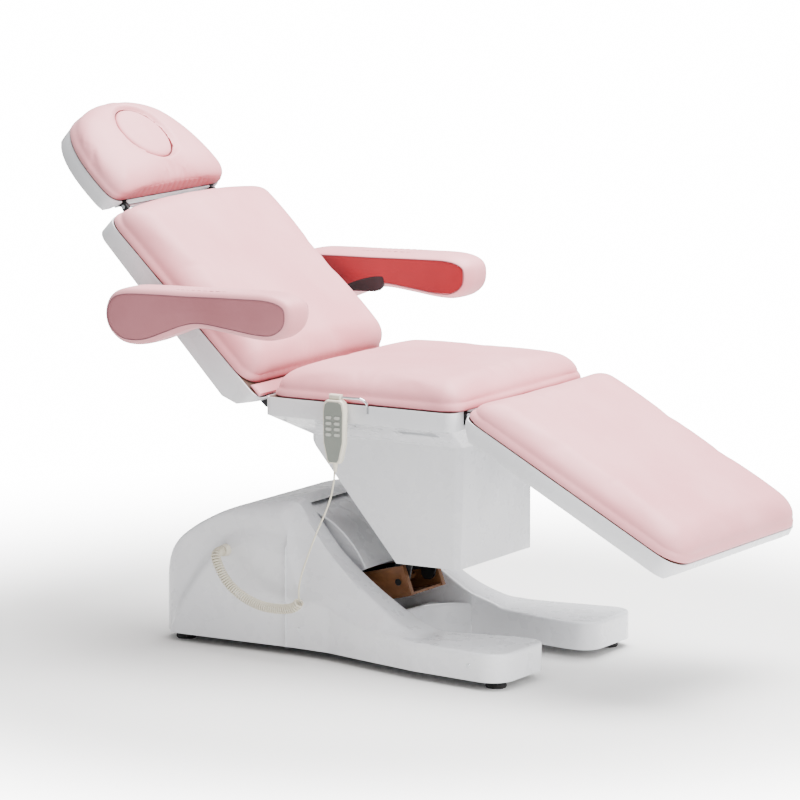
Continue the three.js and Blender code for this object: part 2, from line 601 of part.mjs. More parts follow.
function seatHousing(origin) {
  const half = PAD_WIDTH / 2 - SHELL_INSET + 5;
  const rear = BACK_HINGE_X + 7;
  const front = origin.legX - 13;
  const bandBottom = RIM_HEIGHT - SHELL_DEPTH;
  const layers = (wall) => {
    const drop = wall > 0 ? 10 : 0;
    const band = prism(inset(trayOutline(rear, front, half), wall), 'z', bandBottom + wall * 0.5, RIM_HEIGHT + drop);
    const upper = inset(trayOutline(rear, front - 12, half), wall);
    const lower = inset(trayOutline(HOUSING_REAR_TOP, HOUSING_FRONT, HOUSING_HALF_WIDTH), wall);
    const ring = (points, z) => points.map(([x, y]) => new THREE.Vector3(x, y, z));
    const funnel = solid(new ConvexGeometry([
      ...ring(upper, bandBottom + wall * 0.5 + 0.5),
      ...ring(lower, HOUSING_TOP - wall * 0.3),
    ]));
    const profile = [[HOUSING_REAR_BOTTOM, HOUSING_BOTTOM], [HOUSING_FRONT - 4, HOUSING_BOTTOM],
      [HOUSING_FRONT, HOUSING_TOP + 6], [HOUSING_REAR_TOP, HOUSING_TOP + 6], [HOUSING_REAR_TOP, HOUSING_TOP - 6]];
    const column = prism(inset(trayOutline(HOUSING_REAR_TOP, HOUSING_FRONT, HOUSING_HALF_WIDTH), wall), 'z',
      HOUSING_BOTTOM - 20, HOUSING_TOP + 5 - wall)
      .intersect(prism(inset(profile, wall), 'y', -300, 300));
    return join(band, funnel, column);
  };
  const slotHalf = HOUSING_HALF_WIDTH - 26;
  const rearFace = [[HOUSING_REAR_TOP - 60, 560], [HOUSING_REAR_TOP - 60, 470], [HOUSING_REAR_BOTTOM - 40, 200],
    [HOUSING_FRONT - 20, 200], [HOUSING_FRONT - 20, 250], [HOUSING_REAR_BOTTOM + 20, 252], [-60, 430], [-60, 560]];
  const rearOpening = prism(rearFace, 'y', -slotHalf, slotHalf);
  const lugGaps = bothSides((side) => join(
    block(rear - 20, rear + 6, ...span(side, LUG_SPACING - 16, LUG_SPACING + 6), 590, RIM_HEIGHT + 5),
    block(front - 6, front + 20, ...span(side, LUG_SPACING - 16, LUG_SPACING + 6), 590, RIM_HEIGHT + 5)));
  const backLeverGap = block(rear - 20, rear + 30, BACK_ACTUATOR_Y - 21, BACK_ACTUATOR_Y + 21, 480, RIM_HEIGHT + 5);
  const legLeverGap = block(HOUSING_FRONT - 60, front + 20, LEG_ACTUATOR_Y - 26, LEG_ACTUATOR_Y + 26, 512, RIM_HEIGHT + 5);
  return cut(layers(0), layers(SHELL_WALL), rearOpening, lugGaps, backLeverGap, legLeverGap);
}

function seatFrame(origin, upper, linkUpper) {
  const top = origin.hingeZ - 2 - CLEARANCE;
  const bottom = top - FRAME_TUBE;
  const x0 = BACK_HINGE_X + 30;
  const x1 = origin.legX - 37;
  const half = 285;
  const ring = cut(block(x0, x1, -half, half, bottom, top),
    block(x0 + FRAME_TUBE, x1 - FRAME_TUBE, -half + FRAME_TUBE, half - FRAME_TUBE, bottom - 1, top + 1));
  const [plateInner, plateOuter] = BRACKET_SPAN;
  const runners = bothSides((side) => block(x0 + 5, x1 - 5, ...span(side, plateInner - 6, plateOuter + 6), bottom, top));
  const [stepBottom, stepTop] = HANGER_STEP;
  const [ux, uz] = upper;
  const lower = [[ux - 17, uz - 6], [ux - 8, uz - 15], [ux + 8, uz - 15], [ux + 17, uz - 6], [ux + 36, stepBottom],
    [ux + 50, stepTop], [ux - 10, stepTop], [ux - 17, stepBottom]];
  const plate = [[ux - 8, stepBottom], [ux + 60, stepBottom], [230, bottom + 5], [10, bottom + 5]];
  const hangers = bothSides((side) => join(
    prism(lower, 'y', ...span(side, ...HANGER_SPAN)),
    block(ux - 8, ux + 50, ...span(side, HANGER_SPAN[0], plateOuter), stepBottom, stepTop),
    prism(plate, 'y', ...span(side, plateInner, plateOuter))));
  const stubs = bothSides((side) => join(
    pin(upper, PIVOT_PIN_RADIUS, ...span(side, HANGER_SPAN[0] + 1, ARM_SPAN[1])),
    pin(linkUpper, LINK_PIN_RADIUS, ...span(side, LINK_SPAN[0], HANGER_SPAN[1] - 1))));
  const mountReach = plateInner + 1;
  const mounts = join(pin(BACK_ACTUATOR_MOUNT, 8, -mountReach, mountReach),
    pin(LEG_ACTUATOR_MOUNT, 8, -mountReach, mountReach));
  const lugAt = (hingeX, rootX) => bothSides((side) => bar([rootX, origin.hingeZ - 12], [hingeX, origin.hingeZ], LUG_RADIUS,
    ...span(side, LUG_SPACING - LUG_THICKNESS / 2, LUG_SPACING + LUG_THICKNESS / 2)));
  const bores = [BACK_HINGE_X, origin.legX].map((x) => pin([x, origin.hingeZ], HINGE_ROD_RADIUS + CLEARANCE, -300, 300));
  return cut(join(ring, runners, hangers, stubs, mounts,
    lugAt(BACK_HINGE_X, x0 + 8), lugAt(origin.legX, x1 - 8)), ...bores);
}

function hingeRod(x, z) {
  return pin([x, z], HINGE_ROD_RADIUS, -LUG_SPACING - 5, LUG_SPACING + 5, 16);
}

// Fabric flap on the backrest that closes the gap over the hinge.
function hingeCover(half) {
  const [start, end, thickness] = HINGE_COVER;
  const bottom = RIM_ABOVE_HINGE + PAD_GAP;
  const outline = [[start, -half], [end, -half], [end, half], [start, half]];
  return softPrism(outline, 'z', bottom, bottom + thickness, 3, 1);
}

// ---------------------------------------------------------------- handset
function handsetOutline(grow = 0) {
  const half = [[0, -72], [13, -72], [17, -66], [26, -26], [27, 50], [24, 68], [17, 74], [0, 74]];
  const right = half.map(([x, z]) => [x + Math.sign(x) * grow, z + Math.sign(z) * grow]);
  const left = right.slice(1, -1).map(([x, z]) => [-x, z]).reverse();
  return [...right, ...left];
}

function buttonSpots() {
  const spots = [];
  for (let row = 0; row < BUTTON_ROWS; row += 1) {
    for (const side of [-1, 1]) {
      spots.push([side * 10.5, 34 - row * 13]);
    }
  }
  return spots;
}

function buttonShape([x, z], grow, y0, y1) {
  return bar([x - 3.5, z], [x + 3.5, z], 3.6 + grow, y0, y1, 6);
}

function addHandset(parent) {
  const group = pivotGroup('handset', parent, HANDSET_ORIGIN, [0, 0, rad(6)]);
  const front = -HANDSET_DEPTH;
  const spots = buttonSpots();
  const wells = (grow, y0, y1) => join(...spots.map((spot) => buttonShape(spot, grow, y0, y1)));
  const body = softPrism(handsetOutline(), 'y', front, 0, 3, 2);
  mesh('handset_body', cut(body, wells(BUTTON_GAP, front - 1, front + 5)), beigePlastic, group);
  const padOutline = handsetOutline(-4);
  const padBack = front - TOUCH_GAP;
  const pad = prism(padOutline, 'y', padBack - KEYPAD_THICKNESS, padBack);
  mesh('handset_keypad', cut(pad, wells(BUTTON_GAP, padBack - 3, padBack + 1)), keypadGrey, group);
  const padFace = padBack - KEYPAD_THICKNESS;
  spots.forEach((spot, i) => {
    mesh(`handset_button_${i + 1}`, buttonShape(spot, 0, padFace - BUTTON_PROUD, front + 2.5), buttonGrey, group);
  });
  const hook = HOOK_LINE;
  const [hx, , hz] = HANDSET_ORIGIN;
  const hanger = softPrism([[hx - 15, hz + 74 + TOUCH_GAP], [hx + 15, hz + 74 + TOUCH_GAP], [hx + 15, hz + 86],
    [hx - 15, hz + 86]], 'y', hook[0] - 9, hook[0] + 5.5, 2, 1);
  const bore = prism(circlePoints(hook, HOOK_WIRE_RADIUS + CLEARANCE, 12), 'x', hx - 40, hx + 40);
  mesh('handset_hanger', cut(hanger, bore), beigePlastic, parent);
  const boot = new THREE.CylinderGeometry(6.5, 3.4, 20, 14);
  boot.rotateX(Math.PI / 2);
  boot.translate(0, -HANDSET_DEPTH / 2, -72 - TOUCH_GAP - 10);
  mesh('cord_boot', surface(solid(boot)), beigePlastic, group);
  return group;
}

function handsetHook() {
  const [y, z] = HOOK_LINE;
  const points = [[104, y + 7.1, 606], [104, y + 6.9, 622], [101, y + 4.5, 632], [90, y, z], [70, y, z], [50, y, z],
    [30, y, z], [14, y, z]];
  const curve = new THREE.CatmullRomCurve3(points.map((p) => new THREE.Vector3(...p)), false, 'centripetal');
  return tube(curve, HOOK_WIRE_RADIUS, 10, 22);
}

function tube(curve, radius, sides, steps) {
  const circle = new THREE.Shape(circlePoints([0, 0], radius, sides).map(vec2));
  return surface(solid(new THREE.ExtrudeGeometry(circle, { steps, bevelEnabled: false, extrudePath: curve })));
}

// ---------------------------------------------------------------- armrests
function armrestOutline() {
  const knots = [[-97, 11], [-85, -29], [-45, -57], [15, -57], [75, -36], [125, -17], [171, -9], [245, -16],
    [315, -24], [365, -22], [400, 1], [410, 34], [400, 66], [355, 82], [265, 82], [135, 78], [35, 76],
    [-45, 71], [-83, 51]];
  return new THREE.SplineCurve([...knots, knots[0]].map(vec2)).getPoints(38).slice(0, -1).map(({ x, y }) => [x, y]);
}

function armrestPad(side) {
  const [y0, y1] = span(side, ARMREST_INNER, ARMREST_INNER + ARMREST_WIDTH);
  return softPrism(armrestOutline(), 'y', y0, y1, 14, 2);
}

function armrestBracket(side) {
  const plate = bar([0, 0], [150, 6], 26, ...span(side, ARMREST_INNER - 8, ARMREST_INNER - TOUCH_GAP));
  const boss = pin([0, 0], 20, ...span(side, ARMREST_INNER - 12, ARMREST_INNER - 4));
  return cut(join(plate, boss), pin([0, 0], 8 + CLEARANCE, -500, 500));
}

// ---------------------------------------------------------------- cord routes
const CORD_LEAD_ROUTE = [[23.9, -329, 467.3], [22, -329, 445], [14, -329.5, 408], [-2, -330, 368], [-24, -330, 322],
  [-47, -328, 270], [-66, -323, 228], [-79, -316, 196], [-86, -308, 172], [-88.5, -303, 156.3]];
const CORD_CURL_ROUTE = [[-89, -301.5, 151], [-101, -299, 138], [-125, -296, 130], [-160, -291, 126], [-200, -286, 127],
  [-240, -281, 136], [-276, -277, 152], [-306, -274, 175], [-328, -270, 203], [-342, -262, 225],
  [CORD_SOCKET[0], -248, CORD_SOCKET[1]], [CORD_SOCKET[0], -230.8, CORD_SOCKET[1]]];

function cordTube(route, radius, sides, steps) {
  const curve = new THREE.CatmullRomCurve3(route.map((p) => new THREE.Vector3(...p)), false, 'centripetal');
  return tube(curve, radius, sides, steps);
}

// ---------------------------------------------------------------- assembly
function buildBase(bed, linkPivot) {
  mesh('base_cover', baseCover(), whiteShell, bed);
  mesh('base_frame', baseFrame(linkPivot), blackSteel, bed);
  const corners = [['front_near', FRONT_FOOT, -1], ['front_far', FRONT_FOOT, 1],
    ['rear_near', REAR_FOOT, -1], ['rear_far', REAR_FOOT, 1]];
  for (const [label, [x, y], side] of corners) {
    mesh(`foot_${label}`, foot(), rubber, bed).position.set(x, side * y, 0);
  }
  mesh('lift_pivot_pin', pin(LIFT_PIVOT, PIVOT_PIN_RADIUS, -BRACKET_SPAN[1], BRACKET_SPAN[1]), chrome, bed);
  const linkReach = LINK_BRACKET_SPAN[1];
  mesh('link_pivot_pin', pin(linkPivot, LINK_PIN_RADIUS, -linkReach, linkReach), chrome, bed);
  mesh('control_box', join(block(-455, -330, 100, 132, RAIL_BOTTOM + RAIL_HEIGHT + TOUCH_GAP, 150),
    block(-440, -345, 98, 102, 75, 140)), blackPlastic, bed);
  mesh('power_inlet', powerInlet(), blackPlastic, bed);
  const socket = new THREE.CylinderGeometry(SOCKET_RADIUS - 2, SOCKET_RADIUS, SOCKET_LENGTH, 20);
  socket.rotateX(Math.PI);
  socket.translate(CORD_SOCKET[0], -REAR_HALF_WIDTH - TOUCH_GAP - SOCKET_LENGTH / 2, CORD_SOCKET[1]);
  mesh('cord_socket', surface(solid(socket)), beigePlastic, bed);
}

function buildSeat(bed, origin, upper, linkUpper) {
  mesh('seat_housing', seatHousing(origin), whiteShell, bed);
  mesh('seat_frame', seatFrame(origin, upper, linkUpper), blackSteel, bed);
  const seat = pivotGroup('seat', bed, [BACK_HINGE_X, 0, origin.hingeZ]);
  const tray = trayOutline(7, HINGE_SPAN - 13, PAD_WIDTH / 2);
  const leverNotch = block(-20, 34, BACK_ACTUATOR_Y - 21, BACK_ACTUATOR_Y + 21, -90, 60);
  const legNotch = block(HINGE_SPAN - 44, HINGE_SPAN, LEG_ACTUATOR_Y - 21, LEG_ACTUATOR_Y + 21, -90, 60);
  const lugNotch = bothSides((side) => join(block(-20, 40, ...span(side, LUG_SPACING - 16, LUG_SPACING + 6), -90, 60),
    block(HINGE_SPAN - 50, HINGE_SPAN, ...span(side, LUG_SPACING - 16, LUG_SPACING + 6), -90, 60)));
  mesh('seat_board', board(tray, leverNotch, legNotch, lugNotch), plywood, seat);
  const pad = roundedSection(SEAT_PAD_REAR_GAP, HINGE_SPAN - SEAT_PAD_FRONT_GAP, PAD_WIDTH / 2, 40, 40, 0);
  mesh('seat_cushion', cushion(pad), pinkLeather, seat);
  mesh('back_hinge_rod', hingeRod(0, 0), chrome, seat);
  mesh('leg_hinge_rod', hingeRod(HINGE_SPAN, 0), chrome, seat);
  addHandset(bed);
  mesh('handset_hook', handsetHook(), chrome, bed);
}

function buildBack(bed, origin, lever) {
  const hinged = pivotGroup('backrest', bed, [BACK_HINGE_X, 0, origin.hingeZ], [0, rad(BACK_ANGLE), Math.PI]);
  const back = pivotGroup('backrest_body', hinged, [0, 0, -BACK_DROP]);
  const hinge = [0, BACK_DROP];
  const leverEnd = [lever[0], lever[1] + BACK_DROP];
  const headHinge = [BACK_LENGTH + HEAD_HINGE_GAP, 0];
  const half = PAD_WIDTH / 2;
  const outline = roundedSection(SHELL_START, BACK_LENGTH - 4, half - SHELL_INSET, 30, 38, 18);
  const profile = [[SHELL_START, RIM_ABOVE_HINGE], [SHELL_START, 0], [40, -42], [80, -58],
    [BACK_LENGTH - 16, 8 - SHELL_DEPTH], [BACK_LENGTH + 2, -4], [BACK_LENGTH + 2, RIM_ABOVE_HINGE]];
  const notch = block(-10, 60, -BACK_ACTUATOR_Y - 21, -BACK_ACTUATOR_Y + 21, -80, 30);
  const lugNotch = bothSides((side) => block(-10, 46, ...span(side, LUG_SPACING - 16, LUG_SPACING + 6), -30, 30));
  const armHoles = pin(ARMREST_PIVOT, 12, -half - 5, half + 5);
  const headNotch = bothSides((side) => block(BACK_LENGTH - 44, BACK_LENGTH + 10, ...span(side, 176, 198), -24, 30));
  mesh('back_shell', openShell(outline, profile, notch, lugNotch, armHoles, headNotch), whiteShell, back);
  mesh('back_board', board(outline, lugNotch, notch, headNotch, block(0, 22, -400, 400, -20, 30)), plywood, back);
  const pad = roundedSection(BACK_PAD_START, BACK_LENGTH, half, 40, 40, 18);
  mesh('back_cushion', cushion(pad, BACK_PAD_THICKNESS), pinkLeather, back);
  mesh('hinge_cover', hingeCover(half - 14), pinkLeather, back);
  const stub = bothSides((side) => pin(ARMREST_PIVOT, 8, ...span(side, 264, ARMREST_INNER - TOUCH_GAP)));
  const headLugs = bothSides((side) => bar([BACK_LENGTH - 50, -12], headHinge, LUG_RADIUS, ...span(side, 188, 194)));
  const lugPath = [[44, -13], [4, -13], hinge];
  const frame = join(sectionFrame(38, BACK_LENGTH - 42, 270), lugs(lugPath, LUG_SPACING - 9),
    leverPlates(lugPath, leverEnd, -BACK_ACTUATOR_Y), stub, headLugs);
  mesh('back_frame', cut(frame, pin(hinge, HINGE_ROD_RADIUS + CLEARANCE, -300, 300),
    pin(headHinge, HINGE_ROD_RADIUS + CLEARANCE, -300, 300)), blackSteel, back);
  mesh('head_hinge_rod', pin(headHinge, HINGE_ROD_RADIUS, -198, 198, 16), chrome, back);
  return back;
}

function buildHead(back) {
  const head = pivotGroup('headrest', back, [BACK_LENGTH + HEAD_HINGE_GAP, 0, 0], [0, rad(HEAD_TILT), 0]);
  const half = HEAD_WIDTH / 2;
  const outline = headOutline(9, HEAD_LENGTH - 4, half - SHELL_INSET);
  const profile = [[9, RIM_ABOVE_HINGE], [9, 2], [24, -30], [HEAD_LENGTH - 40, -30], [HEAD_LENGTH, -8],
    [HEAD_LENGTH, RIM_ABOVE_HINGE]];
  const breathingHole = turned(PLUG_RADIUS + PLUG_GAP - 12, PLUG_CENTRE, -60, 40);
  const lugNotch = bothSides((side) => block(-5, 40, ...span(side, 176, 198), -30, 30));
  mesh('head_shell', openShell(outline, profile, breathingHole, lugNotch), whiteShell, head);
  mesh('head_board', board(outline, breathingHole, lugNotch, block(0, 22, -400, 400, -20, 30)), plywood, head);
  const pad = headOutline(HEAD_PAD_START, HEAD_LENGTH, half);
  const hole = turned(PLUG_RADIUS + PLUG_GAP, PLUG_CENTRE, 0, 120);
  mesh('head_cushion', cut(cushion(pad), hole), pinkLeather, head);
  const crossbar = block(34, 54, -190, 190, -2 - CLEARANCE - FRAME_TUBE, -2 - CLEARANCE);
  const frame = join(sectionFrame(34, 236, 108), crossbar,
    bothSides((side) => bar([44, -12], [0, 0], LUG_RADIUS, ...span(side, 180, 186))));
  mesh('head_frame', cut(frame, pin([0, 0], HINGE_ROD_RADIUS + CLEARANCE, -300, 300),
    turned(PLUG_RADIUS + PLUG_GAP - 12, PLUG_CENTRE, -60, 40)), blackSteel, head);
  const base = RIM_ABOVE_HINGE + PAD_GAP;
  const top = base + PAD_THICKNESS + PLUG_PROUD;
  const profilePlug = [[0, base], [PLUG_RADIUS, base], [PLUG_RADIUS, top - 8], [PLUG_RADIUS - 3, top - 3],
    [PLUG_RADIUS - 12, top], [0, top]];
  const plug = new THREE.LatheGeometry(profilePlug.map(vec2), 36);
  plug.rotateX(Math.PI / 2);
  plug.translate(PLUG_CENTRE, 0, 0);
  mesh('face_hole_plug', surface(solid(plug)), pinkLeather, head);
}

function turned(radius, x, z0, z1) {
  const geometry = new THREE.CylinderGeometry(radius, radius, z1 - z0, 36);
  geometry.rotateX(Math.PI / 2);
  geometry.translate(x, 0, (z0 + z1) / 2);
  return solid(geometry);
}

function buildLeg(bed, origin, lever) {
  const leg = pivotGroup('leg_rest', bed, [origin.legX, 0, origin.hingeZ], [0, rad(LEG_ANGLE), 0]);
  const half = PAD_WIDTH / 2;
  const outline = roundedSection(SHELL_START, LEG_LENGTH - 4, half - SHELL_INSET, 30, 50, 0);
  const low = RIM_ABOVE_HINGE - SHELL_DEPTH;
  const profile = [[SHELL_START, RIM_ABOVE_HINGE], [SHELL_START, 4], [48, low], [LEG_LENGTH - 24, low],
    [LEG_LENGTH, -6], [LEG_LENGTH, RIM_ABOVE_HINGE]];
  const notch = block(-10, 76, LEG_ACTUATOR_Y - 21, LEG_ACTUATOR_Y + 21, -70, 30);
  const lugNotch = bothSides((side) => block(-10, 62, ...span(side, LUG_SPACING - 16, LUG_SPACING + 6), -34, 30));
  mesh('leg_shell', openShell(outline, profile, notch, lugNotch), whiteShell, leg);
  mesh('leg_board', board(outline, notch, lugNotch, block(0, 28, -400, 400, -20, 30)), plywood, leg);
  mesh('leg_cushion', cushion(roundedSection(LEG_PAD_START, LEG_LENGTH, half, 40, 60, 0)), pinkLeather, leg);
  const lugPath = [[73, -13], [0, 0]];
  const frame = join(sectionFrame(66, LEG_LENGTH - 32, 270), lugs(lugPath, LUG_SPACING - 9),
    leverPlates(lugPath, lever, LEG_ACTUATOR_Y));
  mesh('leg_frame', cut(frame, pin([0, 0], HINGE_ROD_RADIUS + CLEARANCE, -300, 300)), blackSteel, leg);
}

function buildArmrests(back) {
  for (const [label, side] of [['near', -1], ['far', 1]]) {
    const arm = pivotGroup(`armrest_${label}`, back, [ARMREST_PIVOT[0], 0, ARMREST_PIVOT[1]], [0, rad(BACK_ANGLE), -Math.PI]);
    mesh(`armrest_${label}_pad`, armrestPad(side), pinkLeather, arm);
    mesh(`armrest_${label}_bracket`, armrestBracket(side), blackSteel, arm);
  }
}

function rotateInto([x, z], degrees) {
  const c = Math.cos(rad(degrees));
  const s = Math.sin(rad(degrees));
  return [x * c + z * s, -x * s + z * c];
}

function buildBed() {
  const bed = new THREE.Group();
  const origin = { legX: BACK_HINGE_X + HINGE_SPAN, hingeZ: RIM_HEIGHT - RIM_ABOVE_HINGE };
  const upper = polar(LIFT_PIVOT, ARM_LENGTH, ARM_ANGLE);
  const linkLower = [LIFT_PIVOT[0] + LINK_OFFSET[0], LIFT_PIVOT[1] + LINK_OFFSET[1]];
  const linkUpper = [upper[0] + LINK_OFFSET[0], upper[1] + LINK_OFFSET[1]];
  const liftLeverEnd = polar(LIFT_PIVOT, ...LIFT_LEVER);
  buildBase(bed, linkLower);
  mesh('lift_arm', liftArm(upper, liftLeverEnd), primedSteel, bed);
  mesh('lift_cover', liftCover(), whiteShell, bed);
  mesh('level_link', levelLink(linkLower, linkUpper), blackSteel, bed);
  addActuator('lift_actuator', bed, LIFT_ACTUATOR_MOUNT, liftLeverEnd, 0,
    { body: 152, bore: 52, pin: 6, motorSide: 1, rod: 140 });
  buildSeat(bed, origin, upper, linkUpper);
  const backHinge = [BACK_HINGE_X, origin.hingeZ];
  const backEnd = polar(backHinge, ...BACK_LEVER);
  const legHinge = [origin.legX, origin.hingeZ];
  const legEnd = polar(legHinge, ...LEG_LEVER);
  addActuator('back_actuator', bed, BACK_ACTUATOR_MOUNT, backEnd, BACK_ACTUATOR_Y,
    { body: 190, bore: 60, pin: 8, motorSide: -1, rod: 175 });
  addActuator('leg_actuator', bed, LEG_ACTUATOR_MOUNT, legEnd, LEG_ACTUATOR_Y,
    { body: 205, bore: 60, pin: 8, motorSide: 1, rod: 190 });
  const back = buildBack(bed, origin, backLocal(backEnd, backHinge));
  buildHead(back);
  buildArmrests(back);
  buildLeg(bed, origin, rotateInto([legEnd[0] - legHinge[0], legEnd[1] - legHinge[1]], -LEG_ANGLE));
  mesh('cord_lead', cordTube(CORD_LEAD_ROUTE, CORD_RADIUS, 10, 30), beigePlastic, bed);
  mesh('cord_curl', cordTube(CORD_CURL_ROUTE, CURL_RADIUS, 12, 20), beigePlastic, bed);
  return bed;
}

function backLocal(point, hinge) {
  const c = Math.cos(rad(BACK_ANGLE));
  const s = Math.sin(rad(BACK_ANGLE));
  const x = point[0] - hinge[0];
  const z = point[1] - hinge[1];
  return [-x * c + z * s, x * s + z * c];
}

// The origin is the middle of the bed's footprint on the floor, cord left out.
function centred(bed) {
  bed.updateMatrixWorld(true);
  const box = new THREE.Box3();
  bed.traverse((item) => {
    if (item.isMesh && !['cord_lead', 'cord_curl'].includes(item.name)) {
      box.expandByObject(item, true);
    }
  });
  bed.position.set(-(box.min.x + box.max.x) / 2, -(box.min.y + box.max.y) / 2, -box.min.z);
  return bed;
}

export default centred(buildBed());
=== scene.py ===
import json
import math

import bmesh
import bpy
import numpy as np
from mathutils import Matrix, Quaternion, Vector


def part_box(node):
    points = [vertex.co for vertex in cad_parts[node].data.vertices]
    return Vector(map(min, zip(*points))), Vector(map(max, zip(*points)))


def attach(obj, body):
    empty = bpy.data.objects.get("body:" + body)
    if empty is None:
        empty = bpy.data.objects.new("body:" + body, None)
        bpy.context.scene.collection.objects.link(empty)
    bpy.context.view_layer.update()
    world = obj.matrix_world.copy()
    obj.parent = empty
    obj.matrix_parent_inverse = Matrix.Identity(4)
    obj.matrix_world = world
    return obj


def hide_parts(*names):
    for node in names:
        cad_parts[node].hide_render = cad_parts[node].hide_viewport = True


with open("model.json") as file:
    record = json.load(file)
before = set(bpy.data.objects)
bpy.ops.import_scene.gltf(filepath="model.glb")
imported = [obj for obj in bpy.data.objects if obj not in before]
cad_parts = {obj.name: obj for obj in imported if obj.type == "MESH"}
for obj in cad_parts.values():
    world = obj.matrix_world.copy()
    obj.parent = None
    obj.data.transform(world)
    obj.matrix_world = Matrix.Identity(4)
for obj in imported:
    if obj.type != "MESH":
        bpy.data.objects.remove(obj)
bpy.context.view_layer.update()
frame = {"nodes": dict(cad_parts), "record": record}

MM = 0.001

# ---------------------------------------------------------------- places taken from the frame
FRONT_FOOT_X = 410


def centre(node):
    low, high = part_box(node)
    return (Vector(low) + Vector(high)) / 2


SHIFT = centre("foot_front_near").x - FRONT_FOOT_X * MM
BACK_HINGE = centre("back_hinge_rod")
LEG_HINGE = centre("leg_hinge_rod")
HEAD_HINGE = centre("head_hinge_rod")
BACK_ANGLE = 43.5
HEAD_ANGLE = 41.0
LEG_ANGLE = 28.2
BACK_DROP = 18
RIM = 8
PAD_BOTTOM = RIM + 1


def bed_point(x, y, z):
    return Vector((x * MM + SHIFT, y * MM, z * MM))


class Place:
    """A section's own axes: x along the section, y across the bed, n out of the cushion."""

    def __init__(self, origin, along, across, normal):
        self.origin = origin
        self.along = along
        self.across = across
        self.normal = normal

    def at(self, x, y, n):
        return self.origin + (self.along * x + self.across * y + self.normal * n) * MM


def rising(angle):
    a = math.radians(angle)
    return Vector((-math.cos(a), 0, math.sin(a))), Vector((math.sin(a), 0, math.cos(a)))


def section_place(origin, along, normal, drop=0):
    return Place(origin - normal * drop * MM, along, Vector((0, 1, 0)), normal)


BACK = section_place(BACK_HINGE, *rising(BACK_ANGLE), BACK_DROP)
HEAD = section_place(HEAD_HINGE, *rising(HEAD_ANGLE))
SEAT = section_place(BACK_HINGE, Vector((1, 0, 0)), Vector((0, 0, 1)))
_leg = math.radians(LEG_ANGLE)
LEG = section_place(LEG_HINGE, Vector((math.cos(_leg), 0, -math.sin(_leg))),
                    Vector((math.sin(_leg), 0, math.cos(_leg))))


# ---------------------------------------------------------------- camera, light and floor
def look(obj, target):
    obj.rotation_euler = (target - obj.location).to_track_quat("-Z", "Y").to_euler()


CAMERA_AZIMUTH = math.radians(30.95)
CAMERA_ELEVATION = math.radians(9.11)
CAMERA_DISTANCE = 11.615
CAMERA_LENS = 225
CAMERA_TARGET_HEIGHT = 586


def add_camera():
    target = bed_point(0, 0, CAMERA_TARGET_HEIGHT)
    level = Vector((math.sin(CAMERA_AZIMUTH), -math.cos(CAMERA_AZIMUTH), 0))
    away = level * math.cos(CAMERA_ELEVATION) + Vector((0, 0, math.sin(CAMERA_ELEVATION)))
    data = bpy.data.cameras.new("camera")
    data.lens = CAMERA_LENS
    data.sensor_width = 36
    data.clip_end = 200
    camera = bpy.data.objects.new("camera", data)
    camera.location = target + away * CAMERA_DISTANCE
    bpy.context.scene.collection.objects.link(camera)
    look(camera, target)
    bpy.context.scene.camera = camera


def add_light(name, place, size, watts):
    data = bpy.data.lights.new(name, "AREA")
    data.shape = "RECTANGLE"
    data.size, data.size_y = size
    data.energy = watts
    light = bpy.data.objects.new(name, data)
    light.location = place
    bpy.context.scene.collection.objects.link(light)
    look(light, Vector((0, 0, 0.5)))


# name, place, size of the panel, watts
LIGHTS = [("overhead_softbox", (0.6, 0.9, 4.2), (4.5, 3.5), 800),
          ("foot_end_softbox", (4.2, -1.2, 2.0), (2.5, 2.5), 190),
          ("camera_side_fill", (-1.5, -5.0, 2.4), (4.0, 3.0), 8)]
AMBIENT, BACKDROP = 0.7, 16.0


def add_lights():
    for name, place, size, watts in LIGHTS:
        add_light(name, Vector(place), size, watts)
    world = bpy.data.worlds.new("studio")
    bpy.context.scene.world = world
    world.use_nodes = True
    background = world.node_tree.nodes["Background"]
    background.inputs["Color"].default_value = (1, 1, 1, 1)
    seen = add_node(world.node_tree, "ShaderNodeLightPath")
    strength = add_node(world.node_tree, "ShaderNodeMapRange", {"To Min": AMBIENT, "To Max": BACKDROP},
                        {"Value": seen.outputs["Is Camera Ray"]})
    world.node_tree.links.new(strength.outputs["Result"], background.inputs["Strength"])


# ---------------------------------------------------------------- materials
def linear(code):
    values = [int(code[i:i + 2], 16) / 255 for i in (0, 2, 4)]
    return tuple(v / 12.92 if v <= 0.04045 else ((v + 0.055) / 1.055) ** 2.4 for v in values) + (1.0,)


def add_node(tree, kind, settings=None, links=None):
    """Adds a node; settings go to its properties or sockets, links are {socket: output socket}."""
    item = tree.nodes.new(kind)
    for key, value in (settings or {}).items():
        if isinstance(key, str) and hasattr(item, key):
            setattr(item, key, value)
        else:
            item.inputs[key].default_value = value
    for key, source in (links or {}).items():
        tree.links.new(source, item.inputs[key])
    return item


def new_material(name, **shader):
    material = bpy.data.materials.new(name)
    material.use_nodes = True
    tree = material.node_tree
    principled = tree.nodes["Principled BSDF"]
    for key, value in shader.items():
        principled.inputs[key.replace("_", " ")].default_value = value
    place = add_node(tree, "ShaderNodeTexCoord").outputs["Object"]
    return material, tree, principled, place


def colour_patches(tree, place, principled, first, second, scale, low=0.35, high=0.65):
    noise = add_node(tree, "ShaderNodeTexNoise", {"Scale": scale, "Detail": 4.0}, {"Vector": place})
    ramp = add_node(tree, "ShaderNodeValToRGB", links={"Fac": noise.outputs["Fac"]})
    ramp.color_ramp.elements[0].position = low
    ramp.color_ramp.elements[1].position = high
    ramp.color_ramp.elements[0].color = linear(first)
    ramp.color_ramp.elements[1].color = linear(second)
    tree.links.new(ramp.outputs["Color"], principled.inputs["Base Color"])
    return ramp.outputs["Color"]


